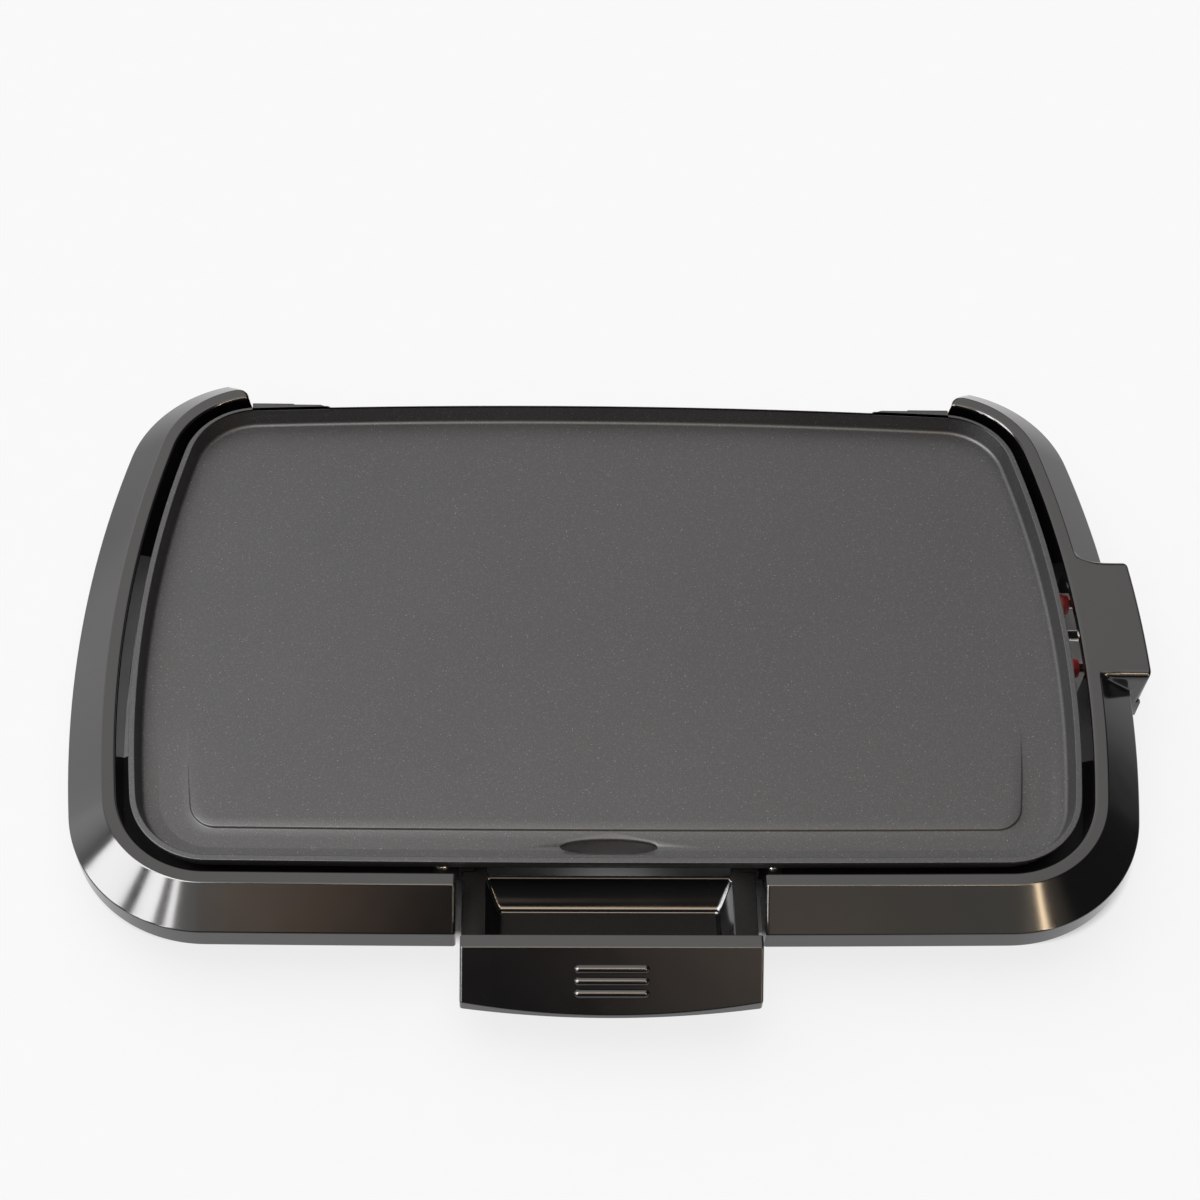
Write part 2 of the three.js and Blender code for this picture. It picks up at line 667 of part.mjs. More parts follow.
// The opening between the two horns at one level, whose rounded ends open out towards the rear.
function hornOpening(z, half, round, out, thick) {
  const centre = { x: half + round, y: plate.halfDepth + out };
  const turn = arcPoints({ x: -centre.x, y: centre.y }, round - thick, 0, Math.PI / 2, 7);
  const left = [...turn, new THREE.Vector2(-centre.x, plate.halfDepth * 2)];
  left.unshift(new THREE.Vector2(-half - thick, 0));
  const right = left.map((p) => new THREE.Vector2(-p.x, p.y));
  return { points: [...right, ...left.reverse()], z };
}

const { hornRound } = surround;
const hornFootX = hornEndX - surround.hornFlare;

function hornGap(thick) {
  const edgeHalf = hornEndX - (surround.hornFlare * surround.slopeDrop) / surround.height;
  const foot = (z, half) => hornOpening(z, half, hornRound.foot, hornRound.footOut, thick);
  const top = (z) => hornOpening(z, hornEndX, hornRound.top, hornRound.topOut, thick);
  return ringSolid([
    foot(surroundBottomZ - BEYOND, hornFootX),
    foot(topZ - surround.slopeDrop, edgeHalf),
    top(topZ),
    top(topZ + BEYOND),
  ]);
}

// A hollow moulding: flat top, sloping skirt, vertical skirt and an inner wall beside the plate.
function surroundMoulding() {
  const { wall } = surround;
  const lowZ = surroundBottomZ;
  const edgeZ = topZ - surround.slopeDrop;
  const full = ringSolid([ring(outerPlan, 0, lowZ), ring(outerPlan, 0, edgeZ), ring(rimPlan, crease, topZ)]);
  const inside = prism(outline(rimPlan, surround.gap), lowZ - BEYOND, topZ + BEYOND);

  const lean = Math.sqrt(1 + fallPerRun * fallPerRun);
  const hollow = ringSolid([
    ring(outerPlan, -wall, lowZ - BEYOND),
    ring(outerPlan, -wall, edgeZ - wall * (lean - fallPerRun)),
    ring(rimPlan, crease - (wall * (lean - 1)) / fallPerRun, topZ - wall),
  ]).subtract(prism(outline(rimPlan, surround.gap + wall), lowZ - 2 * BEYOND, topZ));

  const ringBody = full.subtract(inside);
  const farY = plate.halfDepth * 2;
  const notchGap = (half) => box(-half, half, -farY, 0, lowZ - BEYOND, topZ + BEYOND);
  const notch = notchGap(notchHalfWidth);
  const rearOpening = hornGap(0);
  const ends = [
    ringBody.intersect(notchGap(notchHalfWidth + wall)),
    ringBody.intersect(hornGap(wall)),
  ];
  const bosses = Object.values(surroundScrews).map(({ x, y }) =>
    uprightRod(x, y, lowZ, topZ - wall / 2, surround.boss).intersect(full),
  );

  const rearBar = prism(outline(rimPlan, surround.rearBarTo), lowZ, lowZ + surround.rearBarHeight)
    .subtract(prism(outline(rimPlan, surround.rearBarFrom), lowZ - BEYOND, topZ))
    .intersect(box(-hornEndX - wall / 2, hornEndX + wall / 2, 0, farY, lowZ, topZ));

  const hoodBlock = prism(outline(outerPlan, hood.proud), lowZ, topZ)
    .subtract(prism(outline(rimPlan, surround.gap + wall / 2), lowZ - BEYOND, topZ + BEYOND))
    .intersect(box(0, 2 * plate.halfWidth, hoodY.front, hoodY.rear, lowZ, topZ));
  // Outside the base pan, the hood's front and rear walls reach down as two cheeks.
  const hoodLowZ = topZ - hood.drop;
  const cheeks = prism(outline(outerPlan, hood.proud), hoodLowZ, lowZ + BEYOND)
    .subtract(prism(outline(outerPlan, hood.cheekGap - pan.inset), hoodLowZ - BEYOND, lowZ + 2 * BEYOND))
    .intersect(box(0, 2 * plate.halfWidth, hoodY.front, hoodY.rear, hoodLowZ, topZ));
  const insideHoodLowZ = hoodLowZ - BEYOND;
  const hoodSpace = prism(outline(outerPlan, hood.proud + 20), insideHoodLowZ, topZ - wall)
    .subtract(prism(outline(rimPlan, surround.gap + wall), insideHoodLowZ - BEYOND, topZ + BEYOND))
    .intersect(box(0, 2 * plate.halfWidth, hoodY.front + wall, hoodY.rear - wall, insideHoodLowZ, topZ));
  const pinWindow = box(
    plate.halfWidth - 10,
    plate.halfWidth + surround.gap + 2 * wall,
    hoodY.front + hood.windowMargin,
    hoodY.rear - hood.windowMargin,
    lowZ - BEYOND,
    topZ - hood.windowTop,
  );
  let solid = joinAll([ringBody.subtract(hollow), ...ends, ...bosses]);
  solid = cutAll(solid, [notch, rearOpening]);
  solid = joinAll([solid, rearBar, hoodBlock, cheeks]);
  solid = cutAll(solid, [
    hoodSpace,
    pinWindow,
    ...Object.values(surroundScrews).map(({ x, y }) =>
      uprightHole(x, y, lowZ, lowZ + screw.large.bite, screwHole(screw.large)),
    ),
  ]);
  return solid;
}
addPiece('surround', surroundMoulding(), finish.gloss);

// ---------------------------------------------------------------- base pan, legs and posts

const trayCutout = { halfWidth: tray.halfWidth + pan.cutoutSide, rear: pan.cutoutRear - trayBackRim };
const railScrewX = tray.halfWidth + RUN_GAP + rail.wall + rail.screwOut;
const railScrews = {};
for (const [hand, side] of [['left', -1], ['right', 1]]) {
  for (const [end, y] of [['front', railY.front + rail.screwInset], ['rear', railY.rear - rail.screwInset]]) {
    railScrews[`${hand}_${end}`] = { x: side * railScrewX, y };
  }
}
const panHoles = [
  ...Object.values(legPlaces),
  ...Object.values(surroundScrews),
  ...Object.values(railScrews),
].map(({ x, y }) => uprightHole(x, y, panBottomZ, panTopZ, screwHole(screw.large)));
// Long side vents let air rise past the plate.
const vents = [-1, 1].map((side) => {
  const outer = plate.halfWidth + surround.gap;
  const inner = outer - pan.ventWidth;
  const points = [
    [inner, pan.ventFront + pan.ventSlant],
    [outer, pan.ventFront],
    [outer, pan.ventRear],
    [inner, pan.ventRear],
  ].map(([x, y]) => new THREE.Vector2(side * x, y));
  return prism(side > 0 ? points : points.reverse(), panBottomZ - BEYOND, panTopZ + BEYOND);
});
// Between the horns the pan ends under the surround's rear bar.
const panRearCut = prism(
  hornOpening(0, hornFootX, hornRound.foot, hornRound.footOut, surround.wall).points,
  panBottomZ - BEYOND,
  panTopZ + BEYOND,
).subtract(prism(outline(rimPlan, surround.rearBarTo), panBottomZ - 2 * BEYOND, panTopZ + 2 * BEYOND));
const panSolid = cutAll(prism(outline(outerPlan, -pan.inset), panBottomZ, panTopZ), [
  panRearCut,
  box(
    -trayCutout.halfWidth,
    trayCutout.halfWidth,
    -plate.halfDepth * 2,
    trayCutout.rear,
    panBottomZ - BEYOND,
    panTopZ + BEYOND,
  ),
  box(
    plate.halfWidth,
    plate.halfWidth * 2,
    hoodY.front + surround.wall,
    hoodY.rear - surround.wall,
    panBottomZ - BEYOND,
    panTopZ + BEYOND,
  ),
  ...vents,
  ...panHoles,
]);
addPiece('base_pan', panSolid, finish.blackSheet);

for (const [place, { x, y }] of Object.entries(surroundScrews)) {
  const fastener = uprightScrew(screw.large, x, y, panBottomZ - FIT_GAP, surroundBottomZ + screw.large.bite);
  addPiece(`surround_screw_${place}`, fastener, finish.steel);
}

for (const [place, { x, y }] of Object.entries(legPlaces)) {
  const post = uprightRod(x, y, panTopZ + FIT_GAP, undersideZ - FIT_GAP, postRadius * 2, 24).subtract(
    uprightHole(x, y, panTopZ + BEYOND, panTopZ + screw.large.bite, screwHole(screw.large)),
  );
  addPiece(`support_post_${place}`, post, finish.phenolic);

  const legProfile = [
    new THREE.Vector2(0, 0),
    new THREE.Vector2(leg.footRadius, 0),
    new THREE.Vector2(leg.topRadius, leg.height),
    new THREE.Vector2(0, leg.height),
  ];
  const legGeometry = new THREE.LatheGeometry(legProfile, 28).rotateX(Math.PI / 2);
  const legSolid = cutAll(solidOf(legGeometry.translate(x, y, legBottomZ)), [
    uprightHole(x, y, legBottomZ, legTopZ, screwHole(screw.large)),
    uprightRod(x, y, legBottomZ - BEYOND, legBottomZ + leg.counterboreDepth, leg.counterbore, 20),
  ]);
  addPiece(`leg_${place}`, legSolid, finish.gloss);
  addPiece(
    `leg_screw_${place}`,
    uprightScrew(screw.large, x, y, legBottomZ + leg.counterboreDepth - FIT_GAP, panTopZ + screw.large.bite),
    finish.steel,
  );
  addPiece(`foot_pad_${place}`, uprightRod(x, y, 0, pad.height, pad.radius * 2, 28), finish.rubber);
}

// ---------------------------------------------------------------- drip tray and its rails

const flangeTopZ = topZ - tray.flangeDrop;
const flangeLowZ = flangeTopZ - tray.flange;

// Drawn closed, then moved out to where it stands.
function dripTray() {
  const { wall } = tray;
  const panelBackY = frontYAt(rimPlan, 0, crease - tray.panelFlat);
  const creaseY = panelBackY - tray.panelFlat;
  const panelLowZ = topZ - tray.panelHeight;
  const panelSection = (backY, startY, startZ) => [
    [backY, panelLowZ - 1],
    [startY - (startZ - panelLowZ + BEYOND) / fallPerRun, panelLowZ - 1],
    [startY, startZ],
    [backY, startZ],
  ];
  const bowedPlan = (halfWidth, inset) => {
    const edgeY = creaseY - tray.panelRun + inset;
    const bow = new THREE.QuadraticBezierCurve(
      new THREE.Vector2(-halfWidth, edgeY),
      new THREE.Vector2(0, edgeY - 2 * tray.panelBulge),
      new THREE.Vector2(halfWidth, edgeY),
    );
    return [...bow.getPoints(16), new THREE.Vector2(halfWidth, 0), new THREE.Vector2(-halfWidth, 0)];
  };
  const panel = sectionAlongX(panelSection(panelBackY, creaseY, topZ), -tray.halfWidth, tray.halfWidth)
    .intersect(prism(bowedPlan(tray.halfWidth, 0), panelLowZ, topZ + BEYOND));
  const thickSlope = (wall * (Math.sqrt(1 + fallPerRun ** 2) - 1)) / fallPerRun;
  const panelHollow = sectionAlongX(
    panelSection(panelBackY - wall, creaseY + thickSlope, topZ - wall),
    -tray.halfWidth,
    tray.halfWidth,
  ).intersect(prism(bowedPlan(tray.halfWidth - wall, wall), panelLowZ - BEYOND, topZ));

  const grips = Array.from({ length: gripBar.count }, (_, i) => {
    const run = gripBar.firstRun + i * gripBar.pitch;
    const sink = gripBar.radius - gripBar.proud;
    const capsule = new THREE.CapsuleGeometry(gripBar.radius, gripBar.length - 2 * gripBar.radius, 4, 10);
    const z = topZ - run * fallPerRun - sink;
    return solidOf(capsule.rotateZ(Math.PI / 2).translate(0, creaseY - run, z));
  }).map((bar) => bar.subtract(sectionAlongX(
    panelSection(panelBackY, creaseY + thickSlope, topZ - wall),
    -tray.halfWidth,
    tray.halfWidth,
  )));

  const tub = (grow) => {
    const quad = (halfWidth, rearY) => [
      new THREE.Vector2(-halfWidth - grow, panelBackY - grow),
      new THREE.Vector2(halfWidth + grow, panelBackY - grow),
      new THREE.Vector2(halfWidth + grow, rearY + grow),
      new THREE.Vector2(-halfWidth - grow, rearY + grow),
    ];
    const floorDepth = flangeTopZ - tray.tubDepth - grow;
    return ringSolid([
      { points: quad(tubHalfWidth - tray.tubSideSlope, -trayBackRim - wall - tray.backSlope), z: floorDepth },
      { points: quad(tubHalfWidth, -trayBackRim - wall), z: flangeTopZ },
    ]);
  };
  const { halfWidth } = tray;
  const upstandY = panelBackY - wall;
  const flange = box(-halfWidth, halfWidth, upstandY, -trayBackRim, flangeLowZ, flangeTopZ);
  const armsEnd = -trayBackRim + tray.armLength;
  const armBar = box(-halfWidth, halfWidth, -trayBackRim - wall, armsEnd, flangeLowZ, flangeTopZ);
  const betweenArms = box(
    -tubHalfWidth,
    tubHalfWidth,
    -trayBackRim,
    armsEnd + BEYOND,
    flangeLowZ - BEYOND,
    flangeTopZ + BEYOND,
  );
  const upstand = box(-halfWidth, halfWidth, upstandY, panelBackY, flangeLowZ, topZ);
  const cavityAbove = box(
    -tubHalfWidth,
    tubHalfWidth,
    panelBackY,
    -trayBackRim - wall,
    flangeTopZ - 0.01,
    flangeTopZ + BEYOND,
  );
  const shell = panel.subtract(panelHollow);
  let solid = joinAll([shell, upstand, flange, tub(wall), armBar, ...grips]);
  solid = cutAll(solid, [tub(0), cavityAbove, betweenArms]);
  return solid.translate([0, -tray.open, 0]);
}
addPiece('drip_tray', dripTray(), finish.gloss);

// Each rail is a channel that takes the tray's side flange, screwed down to the pan.
for (const [hand, side] of [['left', -1], ['right', 1]]) {
  const webX = tray.halfWidth + RUN_GAP;
  const outX = webX + rail.wall;
  const lipX = tray.halfWidth - rail.lip;
  const lipTop = flangeTopZ + RUN_GAP + rail.wall;
  const lipLow = flangeLowZ - RUN_GAP;
  const footLow = panTopZ + FIT_GAP;
  const section = [
    [outX, footLow],
    [outX + rail.foot, footLow],
    [outX + rail.foot, footLow + rail.wall],
    [outX, footLow + rail.wall],
    [outX, lipTop],
    [lipX, lipTop],
    [lipX, lipTop - rail.wall],
    [webX, lipTop - rail.wall],
    [webX, lipLow],
    [lipX, lipLow],
    [lipX, lipLow - rail.wall],
    [webX, lipLow - rail.wall],
    [webX, footLow],
  ].map(([x, z]) => [side * x, z]);
  const pairs = side > 0 ? section : section.reverse();
  const holes = Object.entries(railScrews)
    .filter(([place]) => place.startsWith(hand))
    .map(([, { x, y }]) =>
      uprightHole(x, y, footLow, footLow + rail.wall, screwHole(screw.large)),
    );
  addPiece(`tray_rail_${hand}`, cutAll(sectionAlongY(pairs, railY.front, railY.rear), holes), finish.phenolic);
}
for (const [place, { x, y }] of Object.entries(railScrews)) {
  const headZ = panTopZ + FIT_GAP + rail.wall + FIT_GAP;
  const fastener = uprightScrew(screw.large, x, y, headZ, panBottomZ - rail.screwTip);
  addPiece(`tray_rail_screw_${place}`, fastener, finish.steel);
}

// ---------------------------------------------------------------- frame

// The origin is the middle of the whole griddle's footprint, on the table.
const extent = new THREE.Box3().setFromObject(model);
const middle = extent.getCenter(new THREE.Vector3());
model.position.set(-middle.x, -middle.y, 0);

const griddle = new THREE.Group();
griddle.add(model);

export default griddle;
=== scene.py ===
import math

import bmesh
import bpy
from mathutils import Matrix, Vector


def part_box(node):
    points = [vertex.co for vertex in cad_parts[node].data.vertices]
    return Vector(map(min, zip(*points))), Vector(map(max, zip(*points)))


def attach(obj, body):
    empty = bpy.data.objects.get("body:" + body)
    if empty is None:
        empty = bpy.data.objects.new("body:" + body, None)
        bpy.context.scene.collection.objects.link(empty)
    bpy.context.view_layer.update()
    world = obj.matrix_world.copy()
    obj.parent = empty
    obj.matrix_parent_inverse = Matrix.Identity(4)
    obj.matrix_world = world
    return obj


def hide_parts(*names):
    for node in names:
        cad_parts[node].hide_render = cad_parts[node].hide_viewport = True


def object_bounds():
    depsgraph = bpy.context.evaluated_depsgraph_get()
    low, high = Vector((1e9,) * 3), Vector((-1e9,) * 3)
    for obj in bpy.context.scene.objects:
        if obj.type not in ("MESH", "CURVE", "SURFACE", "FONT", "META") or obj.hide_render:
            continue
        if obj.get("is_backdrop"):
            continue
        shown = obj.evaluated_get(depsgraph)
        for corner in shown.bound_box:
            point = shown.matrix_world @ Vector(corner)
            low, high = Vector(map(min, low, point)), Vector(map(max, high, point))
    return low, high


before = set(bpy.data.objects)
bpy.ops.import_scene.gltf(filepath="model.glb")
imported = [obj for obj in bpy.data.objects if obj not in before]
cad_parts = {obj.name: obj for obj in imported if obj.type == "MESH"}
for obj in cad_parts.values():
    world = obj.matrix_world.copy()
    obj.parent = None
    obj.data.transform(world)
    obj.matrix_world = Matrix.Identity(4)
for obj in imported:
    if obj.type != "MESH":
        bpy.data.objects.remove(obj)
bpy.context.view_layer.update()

# ---------------------------------------------------------------- surround
# The outer ring that carries everything: one gloss black moulding, flat on top, sloping to a
# short upright skirt, hollow below. It is open at the front for the drip tray and between its
# two horns at the rear, and it widens on the right into the hood over the thermostat pins.

plate_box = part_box("griddle_plate")
surround_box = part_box("surround")
MM = 0.001
PLATE_HALF_WIDTH = 265
PLATE_HALF_DEPTH = 156.2
middle_x = (plate_box[0].x + plate_box[1].x) / 2
middle_y = plate_box[0].y + PLATE_HALF_DEPTH * MM
top_z = surround_box[1].z


def place(x, y, z):
    """Millimetres from the plate's centre and the surround's top, as a point of the frame."""
    return (middle_x + x * MM, middle_y + y * MM, top_z + z * MM)


def touching_corner(first, second, radius, towards_rear):
    """Centre of a corner arc inside both circles, each given as (x, y, radius)."""
    (x1, y1, r1), (x2, y2, r2) = first, second
    a, b = r1 - radius, r2 - radius
    gap = math.hypot(x2 - x1, y2 - y1)
    along = (a * a - b * b + gap * gap) / (2 * gap)
    across = math.sqrt(a * a - along * along)
    spots = [
        (x1 + (along * (x2 - x1) - side * across * (y2 - y1)) / gap,
         y1 + (along * (y2 - y1) + side * across * (x2 - x1)) / gap)
        for side in (1, -1)
    ]
    return max(spots, key=lambda p: p[0] + towards_rear * p[1])


def arc_plan(half_width, side_y, side_radius, front_y, front_radius, rear_y, rear_radius,
             front_corner, rear_corner):
    """The right half of an outline as five touching arcs: (x, y, radius, start, end)."""
    side = (half_width - side_radius, side_y, side_radius)
    front = (0, front_y + front_radius, front_radius)
    rear = (0, rear_y - rear_radius, rear_radius)
    low = touching_corner(front, side, front_corner, -1)
    high = touching_corner(side, rear, rear_corner, 1)

    def towards(circle, spot):
        return math.atan2(spot[1] - circle[1], spot[0] - circle[0])

    turns = [-math.pi / 2, towards(front, low), towards(side, low), towards(side, high),
             towards(rear, high), math.pi / 2]
    circles = [front, (*low, front_corner), side, (*high, rear_corner), rear]
    return [(*circles[i], turns[i], turns[i + 1]) for i in range(5)]


SIDE_CENTRE_Y = -22.9
SIDE_RADIUS, FRONT_RADIUS, REAR_RADIUS = 646, 21667, 4336
REACH, FRONT_REACH = 34.6, 35.4  # from the rim out to the surround's outer edge
OUTER_HALF_WIDTH, OUTER_FRONT_Y, OUTER_REAR_Y = 299.52, -191.6, 186.2
rim_plan = arc_plan(PLATE_HALF_WIDTH, SIDE_CENTRE_Y, SIDE_RADIUS, -PLATE_HALF_DEPTH, FRONT_RADIUS,
                    PLATE_HALF_DEPTH, REAR_RADIUS, 45, 42)
outer_plan = arc_plan(OUTER_HALF_WIDTH, SIDE_CENTRE_Y, SIDE_RADIUS + REACH, OUTER_FRONT_Y,
                      FRONT_RADIUS + FRONT_REACH, OUTER_REAR_Y, REAR_RADIUS, 79.6, 74)
FRONT, FRONT_CORNER, SIDE, REAR_CORNER, REAR = range(5)


def on_arc(arc, angle, out=0):
    x, y, radius = arc[:3]
    return Vector((x + (radius + out) * math.cos(angle), y + (radius + out) * math.sin(angle)))


def between(start, stop, share):
    return start + (stop - start) * share


def round_turns(sides):
    return [2 * math.pi * k / sides for k in range(sides)]


def angles(*degrees):
    return [math.radians(d) for d in degrees]


def turn(arc, share):
    return between(arc[3], arc[4], share)


def share_of_turn(arc, angle):
    return (angle - arc[3]) / (arc[4] - arc[3])


def share_at_x(arc, x):
    """How far along an arc, from 0 to 1, its point at that x lies."""
    angle = math.acos((x - arc[0]) / arc[2])
    return share_of_turn(arc, -angle if arc[3] < 0 else angle)


GAP = 6.5        # between the plate's rim and the surround
CREASE = 14      # from the rim out to where the flat top meets the slope
SLOPE_DROP = 15.6
SKIRT_FOOT = -29.8
WALL = 2.5


def on_bend(centre, start, stop, share):
    """A point of a bend about a centre; start and stop are given from that centre."""
    sweep = start.angle(stop)
    return centre + (start * math.sin((1 - share) * sweep) + stop * math.sin(share * sweep)) / math.sin(sweep)


def rounded_path(corners, radii, splits, bend_steps=5, guard=0.3):
    """Points along a bent line whose corners are rounded; the same number for any corners."""
    ends = []
    for i, corner in enumerate(corners):
        if i in (0, len(corners) - 1):
            ends.append((corner, corner, []))
            continue
        back = (corners[i - 1] - corner).normalized()
        ahead = (corners[i + 1] - corner).normalized()
        half = math.acos(max(-1, min(1, back.dot(ahead)))) / 2
        reach = radii[i] / math.tan(half) if half < math.pi / 2 - 1e-4 else radii[i] * 0.3
        start, stop = corner + back * reach, corner + ahead * reach
        bend, middle = [], back + ahead
        for step in range(1, bend_steps):
            share = step / bend_steps
            if middle.length < 1e-4:
                bend.append(start.lerp(stop, share))
            else:
                centre = corner + middle.normalized() * (radii[i] / math.sin(half))
                bend.append(on_bend(centre, start - centre, stop - centre, share))
        ends.append((start, stop, bend))
    points = []
    for i, pieces in enumerate(splits):
        a, b = ends[i][1], ends[i + 1][0]
        length = (b - a).length
        near = min(guard, length * 0.25) / length
        points.append(a)
        points.append(a.lerp(b, near))
        points += [a.lerp(b, near + (1 - 2 * near) * k / pieces) for k in range(1, pieces)]
        points.append(a.lerp(b, 1 - near))
        points.append(b)
        points += ends[i + 1][2]
    return points


def section_corners(inner, crease, run, drop, foot, inset):
    """Section of a moulding: inner wall, flat top, slope and skirt, all moved in by inset."""
    slope = Vector((run, -drop)).normalized()
    inward = Vector((slope.y, -slope.x))
    on_slope = Vector((crease, 0)) + inward * inset
    at_top = on_slope + slope * ((-inset - on_slope.y) / slope.y)
    edge_x = crease + run - inset
    at_edge = on_slope + slope * ((edge_x - on_slope.x) / slope.x)
    return [(inner + inset, foot), (inner + inset, -inset), tuple(at_top), tuple(at_edge), (edge_x, foot)]


SECTION_SPLITS = [3, 2, 8, 3]


def moulded_section(inner, crease, run, drop, foot, inset=0.0, radii=(1.9, 1.5, 1.1)):
    """The same section with its corners rounded."""
    corners = [Vector(p) for p in section_corners(inner, crease, run, drop, foot, inset)]
    return rounded_path(corners, [0, *(max(r - inset, 0.12) for r in radii), 0], SECTION_SPLITS)


HOOD_PROUD = 9.3
HOOD_FRONT, HOOD_REAR = -38, 42


def hood_section(run):
    edge_x = CREASE + run + HOOD_PROUD
    corners = [Vector(p) for p in
               ((GAP, SKIRT_FOOT), (GAP, 0), (CREASE, 0), (edge_x, 0), (edge_x, SKIRT_FOOT))]
    return rounded_path(corners, [0, 1.9, 1.5, 1.4, 0], SECTION_SPLITS)


def slope_run(k, rim_turn, outer_turn):
    return (on_arc(outer_plan[k], outer_turn) - on_arc(rim_plan[k], rim_turn, CREASE)).length


def row_across(k, rim_turn, outer_turn, make_section):
    """A section stood across the surround: out along the rim's normal, past the crease towards
    the outer edge."""
    crease, outer = on_arc(rim_plan[k], rim_turn, CREASE), on_arc(outer_plan[k], outer_turn)
    row = []
    for out, z in make_section(slope_run(k, rim_turn, outer_turn)):
        spot = (on_arc(rim_plan[k], rim_turn, out) if out <= CREASE
                else crease + (outer - crease).normalized() * (out - CREASE))
        row.append([spot.x, spot.y, z])
    return row


def moulded_row(k, rim_turn, outer_turn, inset=0.0):
    return row_across(k, rim_turn, outer_turn, lambda run: moulded_section(
        GAP, CREASE, run, SLOPE_DROP, SKIRT_FOOT, inset))


def arc_row(k, share, inset=0.0, rim_share=None):
    rim_turn = turn(rim_plan[k], share if rim_share is None else rim_share)
    return moulded_row(k, rim_turn, turn(outer_plan[k], share), inset)


def ease(value):
    value = max(0.0, min(1.0, value))
    return value * value * (3 - 2 * value)


NOTCH = 82
HORN = 215
HORN_FLARE = 4
HORN_ROUND, HORN_ROUND_MORE = 6, 10   # its rear corner's radius, and what the slope adds
HORN_BEND, HORN_BEND_MORE = 1.3, 4.5  # how far behind the rim that corner begins


def front_row(distance, inset=0.0):
    """A row at a distance from the tray notch, along the front."""
    shares = []
    for plan in (rim_plan, outer_plan):
        first = share_at_x(plan[FRONT], NOTCH)
        whole = on_arc(plan[FRONT], plan[FRONT][4]).x - NOTCH
        shares.append(first + (1 - first) * distance / whole)
    return arc_row(FRONT, shares[1], inset, shares[0])


def horn_end(y, z):
    """The x at which the horn ends; its rear corner is round, more so down the slope."""
    low = min(1.0, z / -SLOPE_DROP)
    radius = HORN_ROUND + HORN_ROUND_MORE * low
    over = min(radius, max(0.0, y - PLATE_HALF_DEPTH - HORN_BEND - HORN_BEND_MORE * low))
    return HORN - HORN_FLARE * z / SKIRT_FOOT + radius - math.sqrt(radius * radius - over * over)


HORN_FROM = 0.45  # along the rear corner, where the rows begin to follow the horn's end
HORN_STEPS = 90


def horn_table(make_row):
    """Rows along the rear corner and on past the horn's end, closely spaced."""
    table = []
    for k in range(HORN_STEPS + 1):
        along = HORN_FROM + (1.2 - HORN_FROM) * k / HORN_STEPS
        table.append(make_row(REAR_CORNER, along) if along < 1 else make_row(REAR, along - 1))
    return table


def horn_row(table, distance, share=1.0):
    """A row that keeps its distance from the horn's end; a lower share lies further back."""
    row = []
    for column in zip(*table):
        over = [p[0] - horn_end(p[1], p[2]) - distance for p in column]
        k = next(i for i in range(1, len(over)) if over[i] <= 0 or i == len(over) - 1)
        spot = (k - 1 + over[k - 1] / (over[k - 1] - over[k])) * share
        k = min(int(spot), HORN_STEPS - 1)
        row.append([a + (b - a) * (spot - k) for a, b in zip(column[k], column[k + 1])])
    return row


def rounded_end(radius, steps=7, bend=90):
    """(distance from the end, inset) of each row round an end's edge, from the end inwards."""
    turns = [math.radians(bend) * (1 - k / steps) for k in range(steps + 1)]
    return [(radius * (math.sin(turns[0]) - math.sin(t)), radius * (1 - math.cos(t))) for t in turns]


SIDE_X = PLATE_HALF_WIDTH - SIDE_RADIUS


def side_spot(y, out, z):
    """A point beside the plate's right edge, at that y and that far out from the rim."""
    return [SIDE_X + math.sqrt((SIDE_RADIUS + out) ** 2 - (y - SIDE_CENTRE_Y) ** 2), y, z]


STEP_FOOT, STEP_TOP = 1.5, 4.6
STEP_ROWS = 16


def step_path(height):
    """(along, height) of a rounded step: concave foot, wall, rounded top. A step too low for
    that comes out as an even ramp."""
    size = min(1.0, height / (STEP_FOOT + STEP_TOP + 0.2))
    foot, top = STEP_FOOT * size, STEP_TOP * size
    path = []
    for k in range(6):
        a = math.pi / 2 * k / 5
        path.append((-foot + foot * math.sin(a), foot * (1 - math.cos(a))))
    for k in range(1, 3):
        path.append((0, foot + (height - foot - top) * k / 3))
    for k in range(8):
        a = math.pi / 2 * k / 7
        path.append((top * (1 - math.cos(a)), height - top + top * math.sin(a)))
    even = [(STEP_FOOT * (k / 5 - 1) if k < 5 else STEP_TOP * (k - 4.5) / 10.5, height * ease(k / 15))
            for k in range(STEP_ROWS)]
    return [(between(a, b, size), between(c, d, size)) for (a, c), (b, d) in zip(even, path)]


REAR_FACET = 7.2


def hood_rear_y(out, z):
    """The hood's rear wall curves back towards the crease, as a shallow hollow in the slope."""
    share = max(0.0, min(1.0, (REACH - out) / (REACH - CREASE)))
    facet = REAR_FACET * ease((SKIRT_FOOT - z) / SKIRT_FOOT)
    return HOOD_REAR + facet * (1 - math.sqrt(max(0.0, 1 - share ** 2.2)))


